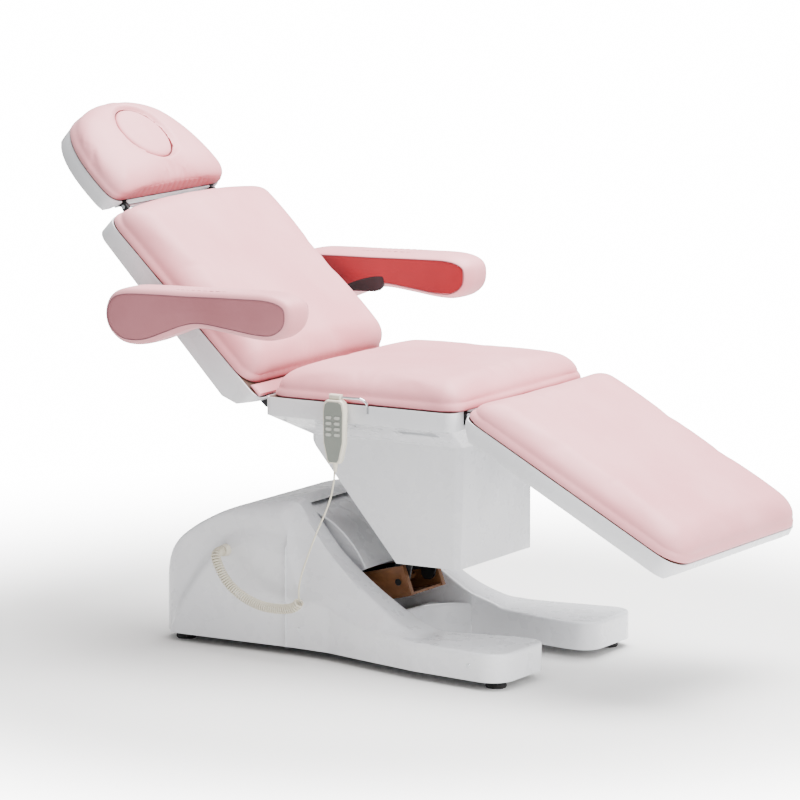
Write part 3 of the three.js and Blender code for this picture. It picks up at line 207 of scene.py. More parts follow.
def roughness_patches(tree, place, principled, low, high, scale):
    noise = add_node(tree, "ShaderNodeTexNoise", {"Scale": scale, "Detail": 3.0}, {"Vector": place})
    span = add_node(tree, "ShaderNodeMapRange", {"To Min": low, "To Max": high}, {"Value": noise.outputs["Fac"]})
    tree.links.new(span.outputs["Result"], principled.inputs["Roughness"])


def bump(tree, principled, height, strength, distance):
    item = add_node(tree, "ShaderNodeBump", {"Strength": strength, "Distance": distance}, {"Height": height})
    tree.links.new(item.outputs["Normal"], principled.inputs["Normal"])


def leather(name, light, dark, crease_shade_colour):
    # Polyurethane leather: calendered on a grain roll, so it is satin, with pebbles of about 1.4 mm.
    material, tree, principled, place = new_material(name, Coat_Weight=0.08, Coat_Roughness=0.35)
    principled.inputs["Specular IOR Level"].default_value = 0.35
    principled.inputs["Sheen Weight"].default_value = 0.15
    principled.inputs["Sheen Roughness"].default_value = 0.5
    tint = colour_patches(tree, place, principled, dark, light, 6.0)
    # folds and seams are mixed towards a deeper colour by an ambient-occlusion node, as painted shade in the
    # creases
    crease_shade_occlusion = add_node(tree, "ShaderNodeAmbientOcclusion", {"samples": 8, "Distance": 0.07})
    depth = add_node(tree, "ShaderNodeMapRange", {"From Min": 0.25, "From Max": 0.8},
                     {"Value": crease_shade_occlusion.outputs["AO"]})
    mix = add_node(tree, "ShaderNodeMix", {"data_type": "RGBA"}, {"Factor": depth.outputs["Result"], 7: tint})
    mix.inputs[6].default_value = linear(crease_shade_colour)
    tree.links.new(mix.outputs[2], principled.inputs["Base Color"])
    roughness_patches(tree, place, principled, 0.40, 0.55, 40.0)
    pebbles = add_node(tree, "ShaderNodeTexVoronoi", {"feature": "DISTANCE_TO_EDGE", "Scale": 1 / (1.4 * MM)},
                       {"Vector": place})
    bump(tree, principled, pebbles.outputs["Distance"], 0.18, 0.0004)
    return material


def moulded(name, light, dark, rough=0.22, coat=0.4):
    # ABS shell: vacuum formed and lacquered, so it is glossy with a faint orange peel of about 6 mm.
    material, tree, principled, place = new_material(name, Coat_Weight=coat, Coat_Roughness=0.12)
    colour_patches(tree, place, principled, dark, light, 3.0)
    roughness_patches(tree, place, principled, rough, rough + 0.12, 25.0)
    peel = add_node(tree, "ShaderNodeTexNoise", {"Scale": 1 / (6 * MM), "Detail": 2.0}, {"Vector": place})
    bump(tree, principled, peel.outputs["Fac"], 0.05, 0.0003)
    return material


def coated(name, light, dark, rough, metal, grain_mm):
    # Powder coat or primer over steel: baked on, so it has a fine pimpled skin.
    material, tree, principled, place = new_material(name, Metallic=metal)
    colour_patches(tree, place, principled, dark, light, 12.0)
    roughness_patches(tree, place, principled, rough, rough + 0.15, 60.0)
    skin = add_node(tree, "ShaderNodeTexNoise", {"Scale": 1 / (grain_mm * MM), "Detail": 3.0}, {"Vector": place})
    bump(tree, principled, skin.outputs["Fac"], 0.25, 0.0003)
    return material


def plated():
    # Chromed steel: polished and plated, with faint rubbing marks.
    material, tree, principled, place = new_material("chrome_plated_steel", Metallic=1.0)
    colour_patches(tree, place, principled, "c2c5c9", "d9dbde", 20.0)
    roughness_patches(tree, place, principled, 0.07, 0.18, 90.0)
    return material


def plywood():
    # Birch plywood: rotary cut veneer, with growth rings drawn out along the sheet. Its dark browns are partly
    # stain and partly painted shade for the dark line between pad and shell.
    material, tree, principled, place = new_material("birch_plywood_dark_stain_and_painted_shade", Roughness=0.7)
    rings = add_node(tree, "ShaderNodeTexWave", {"Scale": 9.0, "Distortion": 6.0, "Detail": 3.0}, {"Vector": place})
    ramp = add_node(tree, "ShaderNodeValToRGB", links={"Fac": rings.outputs["Fac"]})
    ramp.color_ramp.elements[0].color = linear("46332a")
    ramp.color_ramp.elements[1].color = linear("5c463a")
    tree.links.new(ramp.outputs["Color"], principled.inputs["Base Color"])
    bump(tree, principled, rings.outputs["Fac"], 0.1, 0.0003)
    return material


def make_materials():
    return {
        # the last colour of each leather is painted shade for its folds and seams
        "pink_leather": leather("pink_polyurethane_leather", "e69da3", "df9299", "9a2634"),
        # the two panel leathers are the pink leather darkened as painted shade, for the armrests' outer and inner
        # sides
        "painted_shade_outer_panel": leather("outer_side_panel_painted_shade_leather", "b9737b", "ae6970", "7a222d"),
        "painted_shade_inner_panel": leather("inner_side_panel_painted_shade_leather", "96131f", "8a101b", "4f0910"),
        "white_shell": moulded("lacquered_white_abs", "e2e3e6", "dadbdf"),
        "black_steel": coated("black_powder_coated_steel", "242527", "1a1b1c", 0.45, 0.3, 0.8),
        "primed_steel": coated("rust_brown_primed_steel", "7d5230", "653f22", 0.42, 0.15, 1.0),
        "rubber": coated("moulded_black_rubber", "1b1b1b", "121212", 0.75, 0.0, 0.6),
        "chrome": plated(),
        "black_plastic": coated("textured_black_abs", "222326", "1a1b1d", 0.4, 0.0, 0.7),
        "plywood": plywood(),
        "beige_plastic": moulded("satin_ivory_abs", "dcd6c6", "d3cdbc", 0.35, 0.1),
        "cord_rubber": moulded("ivory_pvc_cord", "d8d2c0", "cfc8b4", 0.4, 0.05),
        "keypad_grey": moulded("grey_green_membrane", "7f837c", "757972", 0.45, 0.0),
        "button_grey": moulded("pale_grey_keys", "b4b6ae", "a9aba4", 0.4, 0.0),
        "seam": coated("plum_seam_thread", "8e5f66", "7d525a", 0.6, 0.0, 0.6),
        "badge": coated("brushed_badge_metal", "b9bbbf", "a9abb0", 0.3, 0.8, 0.4),
    }


# ---------------------------------------------------------------- mesh helpers
def mesh_object(name, points, faces, material, smooth=True):
    data = bpy.data.meshes.new(name)
    data.from_pydata([tuple(p) for p in points], [], faces)
    data.validate()
    obj = bpy.data.objects.new(name, data)
    bpy.context.scene.collection.objects.link(obj)
    data.materials.append(material)
    if smooth:
        data.shade_smooth()
    return obj


def outward(obj, merge=0.00005):
    work = bmesh.new()
    work.from_mesh(obj.data)
    bmesh.ops.remove_doubles(work, verts=work.verts, dist=merge)
    bmesh.ops.recalc_face_normals(work, faces=work.faces)
    work.to_mesh(obj.data)
    work.free()
    return obj


def only(obj):
    bpy.ops.object.select_all(action="DESELECT")
    obj.select_set(True)
    bpy.context.view_layer.objects.active = obj


def apply_modifier(obj, kind, **settings):
    only(obj)
    modifier = obj.modifiers.new(kind.lower(), kind)
    for key, value in settings.items():
        setattr(modifier, key, value)
    bpy.ops.object.modifier_apply(modifier=modifier.name)
    return obj


def subdivided(obj, levels=1):
    return apply_modifier(obj, "SUBSURF", levels=levels, render_levels=levels)


def spline(knots, per_span, closed=False):
    """Catmull-Rom curve through 2D or 3D knots."""
    pts = np.array(knots, float)
    count = len(pts)
    result = []
    for i in range(count if closed else count - 1):
        around = [pts[(i + k) % count] if closed else pts[min(max(i + k, 0), count - 1)] for k in (-1, 0, 1, 2)]
        p0, p1, p2, p3 = around
        for t in np.arange(per_span) / per_span:
            result.append(0.5 * (2 * p1 + (p2 - p0) * t + (2 * p0 - 5 * p1 + 4 * p2 - p3) * t ** 2
                                 + (3 * p1 - 3 * p2 + p3 - p0) * t ** 3))
    if not closed:
        result.append(pts[-1])
    return np.array(result)


def tube(name, path, radius, material, sides=10, closed=False, caps=True):
    """A round tube along world points, with a turning-free frame."""
    pts = [Vector(p) for p in path]
    count = len(pts)
    tangents = []
    for i in range(count):
        ahead = pts[(i + 1) % count] if closed or i < count - 1 else pts[i]
        behind = pts[i - 1] if closed or i > 0 else pts[i]
        tangents.append((ahead - behind).normalized())
    side = tangents[0].orthogonal().normalized()
    verts = []
    for point, tangent in zip(pts, tangents):
        side = (side - tangent * side.dot(tangent)).normalized()
        other = tangent.cross(side)
        for k in range(sides):
            a = 2 * math.pi * k / sides
            verts.append(point + (side * math.cos(a) + other * math.sin(a)) * radius)
    faces = []
    for i in range(count if closed else count - 1):
        for k in range(sides):
            j, m = (i + 1) % count, (k + 1) % sides
            faces.append((i * sides + k, i * sides + m, j * sides + m, j * sides + k))
    if caps and not closed:
        faces.append(tuple(range(sides))[::-1])
        faces.append(tuple(range((count - 1) * sides, count * sides)))
    return outward(mesh_object(name, verts, faces, material), merge=0.0000001)


def ride(obj, body, *nodes, slot=None):
    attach(obj, body)
    if nodes:
        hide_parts(*nodes)
    return obj


# ---------------------------------------------------------------- cords
CORD_RADIUS = 2.25
CURL_RADIUS = 12
CURL_PITCH = 6.0
LEAD_ROUTE = [[23.9, -329, 467.3], [22, -329, 445], [14, -329.5, 408], [-2, -330, 368], [-24, -330, 322],
              [-47, -328, 270], [-66, -323, 228], [-79, -316, 196], [-86, -308, 172], [-88.5, -303, 156.3]]
CURL_ROUTE = [[-89, -301.5, 151], [-101, -299, 138], [-125, -296, 130], [-160, -291, 126], [-200, -286, 127],
              [-240, -281, 136], [-276, -277, 152], [-306, -274, 175], [-328, -270, 203], [-342, -262, 225],
              [-345, -248, 233], [-345, -230.8, 233]]


def even_path(knots, step):
    dense = spline(knots, 24)
    gaps = np.linalg.norm(np.diff(dense, axis=0), axis=1)
    reach = np.concatenate([[0], np.cumsum(gaps)])
    stations = np.linspace(0, reach[-1], max(3, int(reach[-1] / step)))
    return np.stack([np.interp(stations, reach, dense[:, k]) for k in range(3)], axis=1), reach[-1]


def add_cords(mat):
    lead, _ = even_path(LEAD_ROUTE, 8)
    lead_path = [bed_point(*p) for p in lead]
    straight = tube("handset_lead", lead_path, CORD_RADIUS * MM, mat["cord_rubber"], 12)
    ride(straight, "seat", "cord_lead", slot="beige_plastic")
    core, reach = even_path(CURL_ROUTE, 1.0)
    steps = 20
    turns = round((reach - 20) / CURL_PITCH)
    helix = []
    radius = CURL_RADIUS - CORD_RADIUS
    for i in range(turns * steps + 1):
        t = i / (turns * steps)
        k = min(int(t * (len(core) - 1)), len(core) - 2)
        f = t * (len(core) - 1) - k
        point = Vector(core[k]) * (1 - f) + Vector(core[k + 1]) * f
        tangent = (Vector(core[min(k + 2, len(core) - 1)]) - Vector(core[max(k - 1, 0)])).normalized()
        side = tangent.cross(Vector((0, 1, 0.3))).normalized()
        up = side.cross(tangent)
        angle = 2 * math.pi * i / steps
        spoke = side * math.cos(angle) + up * math.sin(angle)
        helix.append(bed_point(*(point + spoke * radius)))
    curl = tube("curly_cord", helix, CORD_RADIUS * MM, mat["cord_rubber"], 7)
    ride(curl, "base", "cord_curl", slot="beige_plastic")


# ---------------------------------------------------------------- cushions
def arc_points(cx, cy, radius, start, end, steps):
    return [[cx + radius * math.cos(a), cy + radius * math.sin(a)]
            for a in np.linspace(math.radians(start), math.radians(end), steps)]


def rounded_outline(start, end, half, start_radius, end_radius, crown):
    """Half an outline from the middle of the hinge end to the middle of the free end, then mirrored."""
    pts = [[start, y] for y in np.linspace(0, half - start_radius, 12)]
    pts += arc_points(start + start_radius, half - start_radius, start_radius, 180, 90, 8)
    shoulder = end - crown - end_radius
    pts += [[x, half] for x in np.linspace(start + start_radius, shoulder, 20)[1:]]
    pts += arc_points(shoulder, half - end_radius, end_radius, 90, 8 if crown else 0, 8)
    last_x, last_y = pts[-1]
    tip_x = end if crown else last_x
    for t in np.linspace(0, 1, 16)[1:]:
        pts.append([(1 - t) ** 2 * last_x + 2 * t * (1 - t) * tip_x + t * t * tip_x,
                    (1 - t) ** 2 * last_y + 2 * t * (1 - t) * half * 0.45])
    return mirror_outline(pts)


def bezier(p0, p1, p2, p3, steps):
    t = np.linspace(0, 1, steps)[:, None]
    p0, p1, p2, p3 = (np.array(p, float) for p in (p0, p1, p2, p3))
    return ((1 - t) ** 3 * p0 + 3 * (1 - t) ** 2 * t * p1 + 3 * (1 - t) * t * t * p2 + t ** 3 * p3).tolist()


def head_outline(start, length, half):
    pts = [[start, y] for y in np.linspace(0, half - 40, 10)]
    pts += bezier([start, half - 40], [start, half - 12], [start + 14, half - 1], [start + 42, half - 1], 8)[1:]
    pts += bezier([start + 42, half - 1], [start + 110, half - 3], [length - 85, half - 16],
                  [length - 36, half - 80], 14)[1:]
    pts += bezier([length - 36, half - 80], [length - 12, half - 122], [length, half - 180], [length, 0], 14)[1:]
    return mirror_outline(pts)


def mirror_outline(half):
    other = [[x, -y] for x, y in half if y > 1e-6]
    return np.array(half + other[::-1], float)


def edge_distance(points, outline):
    a = outline
    b = np.roll(outline, -1, axis=0)
    ab = b - a
    best = np.full(len(points), 1e9)
    for i in range(len(a)):
        rel = points - a[i]
        t = np.clip(rel @ ab[i] / max(1e-9, ab[i] @ ab[i]), 0, 1)
        best = np.minimum(best, np.linalg.norm(rel - t[:, None] * ab[i], axis=1))
    return best


def disc_grid(outline, cells, middle):
    """A square grid bent into a disc and stretched to a star-shaped outline."""
    rel = outline - middle
    angles = np.unwrap(np.arctan2(rel[:, 1], rel[:, 0]))
    if angles[-1] < angles[0]:
        angles, rel = angles[::-1], rel[::-1]
    reach = np.linalg.norm(rel, axis=1)
    s = np.linspace(-1, 1, cells + 1)
    s = np.sign(s) * (1 - (1 - np.abs(s)) ** 1.35)
    u, v = np.meshgrid(s, s, indexing="ij")
    x = u * np.sqrt(1 - v * v / 2)
    y = v * np.sqrt(1 - u * u / 2)
    theta = np.arctan2(y, x)
    rho = np.hypot(x, y)
    wrapped = angles[0] + np.mod(theta - angles[0], 2 * math.pi)
    grown = np.interp(wrapped, np.append(angles, angles[0] + 2 * math.pi), np.append(reach, reach[0]))
    return np.stack([middle[0] + rho * grown * np.cos(theta), middle[1] + rho * grown * np.sin(theta)], axis=-1)


def padded_mesh(name, place, outline, middle, top, bottom, material, cells=72, wall=4, bulge=2.0):
    """A closed pad: a top and a bottom sheet over one outline, joined by a low wall."""
    grid = disc_grid(outline, cells, np.array(middle, float))
    flat = grid.reshape(-1, 2)
    distance = edge_distance(flat, outline)
    tops = top(flat, distance)
    bottoms = bottom(flat, distance)
    n = cells + 1
    points = [place.at(p[0], p[1], h) for p, h in zip(flat, tops)]
    points += [place.at(p[0], p[1], h) for p, h in zip(flat, bottoms)]
    quads = [(i * n + j, (i + 1) * n + j, (i + 1) * n + j + 1, i * n + j + 1)
             for i in range(cells) for j in range(cells)]
    faces = quads + [tuple(reversed([k + n * n for k in q])) for q in quads]
    ring = [(i, 0) for i in range(n)] + [(cells, j) for j in range(1, n)]
    ring += [(i, cells) for i in range(cells - 1, -1, -1)] + [(0, j) for j in range(cells - 1, 0, -1)]
    rim = [i * n + j for i, j in ring]
    rows = [rim]
    spokes = flat[rim] - np.array(middle)
    out = spokes / np.linalg.norm(spokes, axis=1)[:, None]
    for k in range(1, wall):
        t = k / wall
        row = []
        for m, index in enumerate(rim):
            p = flat[index] + out[m] * bulge * math.sin(math.pi * t)
            row.append(len(points))
            points.append(place.at(p[0], p[1], tops[index] * (1 - t) + bottoms[index] * t))
        rows.append(row)
    rows.append([k + n * n for k in rim])
    for upper, lower in zip(rows, rows[1:]):
        for m in range(len(rim)):
            q = (m + 1) % len(rim)
            faces.append((upper[m], lower[m], lower[q], upper[q]))
    return outward(mesh_object(name, points, faces, material))


def smooth_step(t):
    t = np.clip(t, 0, 1)
    return t * t * (3 - 2 * t)


def rounded_edge(distance, radius, height):
    t = np.clip(distance / radius, 0, 1)
    return height * np.sqrt(1 - (1 - t) ** 2)


CLOTH_FRAMES = 20
CLOTH = {"quality": 4, "mass": 0.4, "tension_stiffness": 12, "compression_stiffness": 12, "shear_stiffness": 6,
         "bending_stiffness": 1.5, "use_pressure": True, "uniform_pressure_force": 4}


def inflate(obj, place, floor, cap):
    """Lets the cover swell under the foam's pressure, then keeps each point within the cap."""
    start = np.array([v.co[:] for v in obj.data.vertices])
    modifier = obj.modifiers.new("cloth", "CLOTH")
    for key, value in CLOTH.items():
        setattr(modifier.settings, key, value)
    modifier.settings.effector_weights.gravity = 0
    modifier.point_cache.frame_start = 1
    modifier.point_cache.frame_end = CLOTH_FRAMES
    scene = bpy.context.scene
    for step in range(1, CLOTH_FRAMES + 1):
        scene.frame_set(step)
    shown = obj.evaluated_get(bpy.context.evaluated_depsgraph_get())
    swollen = np.array([v.co[:] for v in shown.data.vertices])
    obj.modifiers.remove(modifier)
    scene.frame_set(1)
    move = swollen - start
    length = np.linalg.norm(move, axis=1)
    move *= np.minimum(1, cap * MM / np.maximum(length, 1e-9))[:, None]
    normal = np.array(place.normal[:])
    height = (start - np.array(place.origin[:])) @ normal / MM - floor
    held = np.clip((height - 4) / 14, 0, 1)[:, None]
    placed = start + move * held
    obj.data.vertices.foreach_set("co", placed.ravel())
    obj.data.update()


def cushion(name, node, body, place, outline, middle, profile, mat, cap=9, cells=72, side=16):
    thickness, edge, crown = profile
    centre_x, half_x = (outline[:, 0].min() + outline[:, 0].max()) / 2, np.ptp(outline[:, 0]) / 2
    half_y = np.ptp(outline[:, 1]) / 2

    def top(points, distance):
        along = np.clip(1 - ((points[:, 0] - centre_x) / half_x) ** 2, 0, 1)
        across = np.clip(1 - (points[:, 1] / half_y) ** 2, 0, 1)
        return PAD_BOTTOM + side + rounded_edge(distance, edge, thickness - side) + crown * np.sqrt(along * across)

    def bottom(points, distance):
        return PAD_BOTTOM + 5 - rounded_edge(distance, 8, 5)

    obj = padded_mesh(name, place, outline, middle, top, bottom, mat["pink_leather"], cells)
    inflate(obj, place, PAD_BOTTOM, cap)
    subdivided(obj)
    ride(obj, body, node, slot="pink_leather")


CUSHION_HALF_WIDTH = 305


def add_cushions(mat):
    half = CUSHION_HALF_WIDTH
    seat = rounded_outline(15, 516, half, 46, 46, 0)
    cushion("seat_cushion_cover", "seat_cushion", "seat", SEAT, seat, (265, 0), (54, 70, 12), mat, cells=76)
    back = rounded_outline(50, 597, half, 46, 46, 18)
    cushion("backrest_cushion_cover", "back_cushion", "backrest", BACK, back, (320, 0), (60, 62, 6), mat, cells=80)
    leg = rounded_outline(5, 624, half, 46, 62, 0)
    cushion("leg_rest_cushion_cover", "leg_cushion", "leg_rest", LEG, leg, (310, 0), (50, 66, 6), mat, cells=80)


PLUG_CENTRE = 155
PLUG_RADIUS = 79
HOLE_RADIUS = 81


def add_head_cushion(mat):
    outline = head_outline(11, 282, 236)

    def top(points, distance):
        hole = np.hypot(points[:, 0] - PLUG_CENTRE, points[:, 1]) - HOLE_RADIUS
        dome = 14 * np.clip(1 - (points[:, 1] / 236) ** 2, 0, 1)
        lip = 14 * np.clip(1 - np.abs(hole) / 14, 0, 1) ** 2
        return PAD_BOTTOM + 14 + rounded_edge(distance, 72, 34) + dome - lip

    def bottom(points, distance):
        return PAD_BOTTOM + 5 - rounded_edge(distance, 8, 5)

    obj = padded_mesh("headrest_cushion_cover", HEAD, outline, (140, 0), top, bottom, mat["pink_leather"], 76)
    inflate(obj, HEAD, PAD_BOTTOM, 6)
    subdivided(obj)
    bpy.ops.object.select_all(action="DESELECT")
    bpy.ops.mesh.primitive_cylinder_add(vertices=96, radius=HOLE_RADIUS * MM, depth=0.3)
    cutter = bpy.context.object
    cutter.location = HEAD.at(PLUG_CENTRE, 0, 40)
    cutter.rotation_euler = HEAD.normal.to_track_quat("Z", "Y").to_euler()
    bpy.context.view_layer.update()
    apply_modifier(obj, "BOOLEAN", operation="DIFFERENCE", object=cutter, solver="EXACT")
    bpy.data.objects.remove(cutter)
    ride(obj, "headrest", "head_cushion", slot="pink_leather")

    plug_outline = np.array(arc_points(PLUG_CENTRE, 0, PLUG_RADIUS, 0, 360, 97)[:-1])

    def plug_top(points, distance):
        return PAD_BOTTOM + 52 + rounded_edge(distance, 18, 11) + 5 * np.clip(distance / PLUG_RADIUS, 0, 1)

    def plug_bottom(points, distance):
        return PAD_BOTTOM + 4 - rounded_edge(distance, 8, 4)

    plug = padded_mesh("face_hole_plug_cover", HEAD, plug_outline, (PLUG_CENTRE, 0), plug_top, plug_bottom,
                       mat["pink_leather"], 40, wall=10, bulge=0.6)
    subdivided(plug)
    ride(plug, "face_plug", "face_hole_plug", slot="pink_leather")


# ---------------------------------------------------------------- armrests
ARMREST_KNOTS = [[-97, 11], [-85, -29], [-45, -57], [15, -57], [75, -36], [125, -17], [171, -9], [245, -16],
                 [315, -24], [365, -22], [400, 1], [410, 34], [400, 66], [355, 82], [265, 82], [135, 78],
                 [35, 76], [-45, 71], [-83, 51]]
ARMREST_HALF_WIDTH = 50
ARMREST_LINING = 11
PANEL_INSET = 13


def shrunk(outline, distance):
    ahead = np.roll(outline, -1, axis=0)
    behind = np.roll(outline, 1, axis=0)
    tangent = ahead - behind
    tangent /= np.linalg.norm(tangent, axis=1)[:, None]
    normal = np.stack([-tangent[:, 1], tangent[:, 0]], axis=1)
    area = np.sum(outline[:, 0] * ahead[:, 1] - ahead[:, 0] * outline[:, 1])
    return outline + normal * distance * (1 if area > 0 else -1)


def add_armrest(side, label, mat):
    low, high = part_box(f"armrest_{label}_pad")
    low, high = Vector(low), Vector(high)
    knots = np.array(ARMREST_KNOTS, float)
    body = f"armrest_{label}"
    left, bottom = (knots.min(axis=0) - 0.5) * MM
    pivot = Vector((low.x - left, (low.y + high.y) / 2, low.z - bottom))
    place = Place(pivot, Vector((1, 0, 0)), Vector((0, 0, 1)), Vector((0, -1, 0)))
    outline = shrunk(spline(knots, 8, closed=True), 1.0)
    half = ARMREST_HALF_WIDTH - 3

    def depth(distance, sign):
        # the inner panel is fuller, because it is stuffed over the bracket plate
        lining = ARMREST_LINING * smooth_step(np.clip(distance / 12, 0, 1)) if sign == side else 0
        return half - 20 + rounded_edge(distance, 20, 17) + 5 * np.clip(distance / 60, 0, 1) ** 0.7 + lining

    def face(sign):
        return lambda points, distance: sign * depth(distance, sign)

    obj = padded_mesh(f"armrest_{label}_cover", place, outline, (160, 25), face(1), face(-1), mat["pink_leather"],
                      64, wall=8, bulge=1.5)
    subdivided(obj)
    inner = shrunk(outline, PANEL_INSET)
    height = {sign: float(depth(np.array([float(PANEL_INSET)]), sign)[0]) for sign in (1, -1)}
    obj.data.materials.append(mat["painted_shade_outer_panel"])
    obj.data.materials.append(mat["painted_shade_inner_panel"])
    # the side faces beyond the seam line take the darker panel leathers: painted shade, the outer sides shaded and
    # the inner sides shaded deeper
    for polygon in obj.data.polygons:
        across = (polygon.center - pivot).y / MM
        if abs(across) > height[-1 if across > 0 else 1]:
            polygon.material_index = 1 if across * side > 0 else 2
    ride(obj, body, f"armrest_{label}_pad", slot="pink_leather")
    for sign, face_name in ((1, "one"), (-1, "two")):
        seam = [place.at(p[0], p[1], sign * (height[sign] + 0.3)) for p in inner[::2]]
        welt = tube(f"armrest_{label}_seam_{face_name}", seam, 0.0011, mat["seam"], 8, closed=True)
        ride(welt, body, slot="pink_leather")


# ---------------------------------------------------------------- base cover
REAR, LIP, FLOOR, ARC_END, NOTCH_X, PRONG_ROUND, FRONT = -545, -176, 2, 116, 165, 411, 456
SLOT_HALF = 134
SKIRT_FOOT = 20
PLATE_TOP = 85
BASE_WALL = 4.5
POD_STEP = 8
PROFILE = [[-545, 60], [-530, 160], [-499, 228], [-442, 278], [-360, 322], [-290, 346], [-230, 358], [-176, 366],
           [-150, 338], [-79, 253], [-20, 203], [38, 162], [105, 122], [170, 96], [225, 80], [460, 70]]
CHEEK = [[0, 368], [165, 366], [180, 346], [190, 318], [197, 250], [208, 175], [226, 125], [258, 95], [300, 80]]


def curve_through(knots):
    dense = spline(knots, 12)
    return lambda x: np.interp(x, dense[:, 0], dense[:, 1])


profile_at = curve_through(PROFILE)
cheek_at = curve_through(CHEEK)


def outer_edge(x):
    side = np.interp(x, [-160, -60, 60, 210, 401, 456], [214, 222, 254, 292, 318, 322])
    rear = 144 + 70 * np.sqrt(np.clip(1 - ((x + 469) / 76) ** 2, 0, 1))
    front = 268 + 50 * np.sqrt(np.clip(1 - ((x - 401) / 55) ** 2, 0, 1))
    return np.where(x < -469, rear, np.where(x > 401, front, side))


def inner_edge(x):
    notch = 144 * np.sqrt(np.clip(1 - ((x - NOTCH_X) / 135) ** 2, 0, 1))
    taper = 102 + 42 * (1 - smooth_step((x - NOTCH_X) / (PRONG_ROUND - NOTCH_X)))
    tip = 102 + 45 * (1 - np.sqrt(np.clip(1 - ((x - PRONG_ROUND) / 45) ** 2, 0, 1)))
    edge = np.where(x < NOTCH_X, notch, np.where(x < PRONG_ROUND, taper, tip))
    return np.where(x < ARC_END, SLOT_HALF, edge)


def crease_at(x):
    """The height of the line that the raised upper pod ends at."""
    rear = 271 - 120 * ((x + 266) / 170) ** 2
    front = np.interp(x, [-266, -120, 38, 213], [271, 232, 165, 90])
    return np.where(x < -266, rear, front)


def soft_min(a, b, blend):
    gap = np.clip(0.5 + 0.5 * (b - a) / blend, 0, 1)
    return b * (1 - gap) + a * gap - blend * gap * (1 - gap)


def cover_height(x, y):
    side = 290 + 78 * np.sqrt(np.clip(1 - (np.clip(y - 140, 0, 74) / 74) ** 2, 0, 1))
    front = smooth_step((x + 205) / 75)
    section = side * (1 - front) + cheek_at(y) * front
    top = soft_min(profile_at(x), section, 22)
    return -soft_min(-top, np.full_like(top, -PLATE_TOP), 14)


def rolled(height, gap, radius):
    """Lowers the surface near an edge so that it rolls over with the given radius."""
    t = np.clip(gap / radius, 0, 1)
    return height - radius * (1 - np.sqrt(1 - (1 - t) ** 2))


def dense_ends(low, high, cells):
    return low + (high - low) * (1 - np.cos(np.linspace(0, math.pi, cells + 1))) / 2


def pod_shift(x, z):
    return -POD_STEP * smooth_step((z - crease_at(x)) / 14) * smooth_step((30 - x) / 60)


class Patchwork:
    """Grids of points in the bed's millimetres, joined later into one sheet."""

    def __init__(self):
        self.points = []
        self.faces = []

    def grid(self, points):
        rows, cols = points.shape[:2]
        start = len(self.points)
        self.points += points.reshape(-1, 3).tolist()
        for i in range(rows - 1):
            for j in range(cols - 1):
                a = start + i * cols + j
                self.faces.append((a, a + cols, a + cols + 1, a + 1))

    def skirt(self, border, foot, shift=None, rows=14):
        border = np.array(border)
        t = np.linspace(0, 1, rows + 1)[:, None]
        z = border[:, 2] * (1 - t) + foot * t
        x = np.broadcast_to(border[:, 0], z.shape)
        y = np.broadcast_to(border[:, 1], z.shape)
        if shift is not None:
            y = y + shift(x, z) - shift(x[0], z[0])
        self.grid(np.stack([x, y, z], axis=-1))


def cover_rows(stations, cells):
    xs = stations[:, None] * np.ones(cells + 1)
    low, high = inner_edge(stations), outer_edge(stations)
    high = high + pod_shift(stations, cover_height(stations, high))
    share = dense_ends(0, 1, cells)[None, :]
    ys = low[:, None] + (high - low)[:, None] * share
    z = cover_height(xs, ys)
    z = rolled(z, high[:, None] - ys, 9)
    z = rolled(z, ys - low[:, None], 6)
    z = rolled(z, FRONT - xs, 7)
    z = rolled(z, xs - REAR, 4)
    return np.stack([xs, ys, z], axis=-1)


def rear_middle(stations, cells):
    xs = stations[:, None] * np.ones(cells + 1)
    ys = np.linspace(0, SLOT_HALF, cells + 1)[None, :] * np.ones_like(xs)
    z = cover_height(xs, ys)
    z = rolled(z, xs - REAR, 4)
    lip = smooth_step((xs - (LIP - 26)) / 26) * smooth_step((SLOT_HALF - ys) / 14)
    z = z - 12 * lip
    return np.stack([xs, ys, z], axis=-1)


def well_floor(cells_x, cells_y):
    share = np.linspace(0, 1, cells_x + 1)[:, None]
    ys = np.linspace(0, SLOT_HALF, cells_y + 1)[None, :] * np.ones_like(share)
    arc = NOTCH_X - 135 * np.sqrt(1 - (ys / 144) ** 2)
    xs = FLOOR + (arc - FLOOR) * share
    z = PLATE_TOP + 9 * smooth_step((xs - arc + 30) / 22)
    z = rolled(z, arc - xs, 9)
    return np.stack([xs, ys, z], axis=-1)


def half_cover(work):
    rear = dense_ends(REAR, LIP, 64)
    front = np.concatenate([np.linspace(LIP, FLOOR, 30), np.linspace(FLOOR, ARC_END, 21)[1:],
                            np.linspace(ARC_END, NOTCH_X, 9)[1:], np.linspace(NOTCH_X, PRONG_ROUND, 30)[1:],
                            dense_ends(PRONG_ROUND, FRONT, 16)[1:]])
    across = 26
    outer_rear = cover_rows(rear, across)
    outer_front = cover_rows(front, across)
    middle = rear_middle(rear, 24)
    outer_rear[:, 0, 2] = middle[:, -1, 2]
    for part in (outer_rear, outer_front, middle):
        work.grid(part)
    work.skirt(np.concatenate([outer_rear[:, -1], outer_front[1:, -1]]), SKIRT_FOOT, pod_shift, 22)
    work.skirt(np.concatenate([middle[0], outer_rear[0][1:]]), SKIRT_FOOT)
    work.skirt(outer_front[-1], SKIRT_FOOT)
    slot = front <= FLOOR
    well = (front >= FLOOR) & (front <= ARC_END)
    notch = front >= ARC_END
    work.skirt(outer_front[slot, 0], SKIRT_FOOT)
    work.skirt(outer_front[well, 0], PLATE_TOP)
    work.skirt(outer_front[notch, 0], SKIRT_FOOT)
    work.skirt(middle[-1], 345, rows=4)
    floor = well_floor(20, 24)
    work.grid(floor)
    work.skirt(floor[-1], SKIRT_FOOT)
    work.skirt(floor[0], SKIRT_FOOT, rows=6)


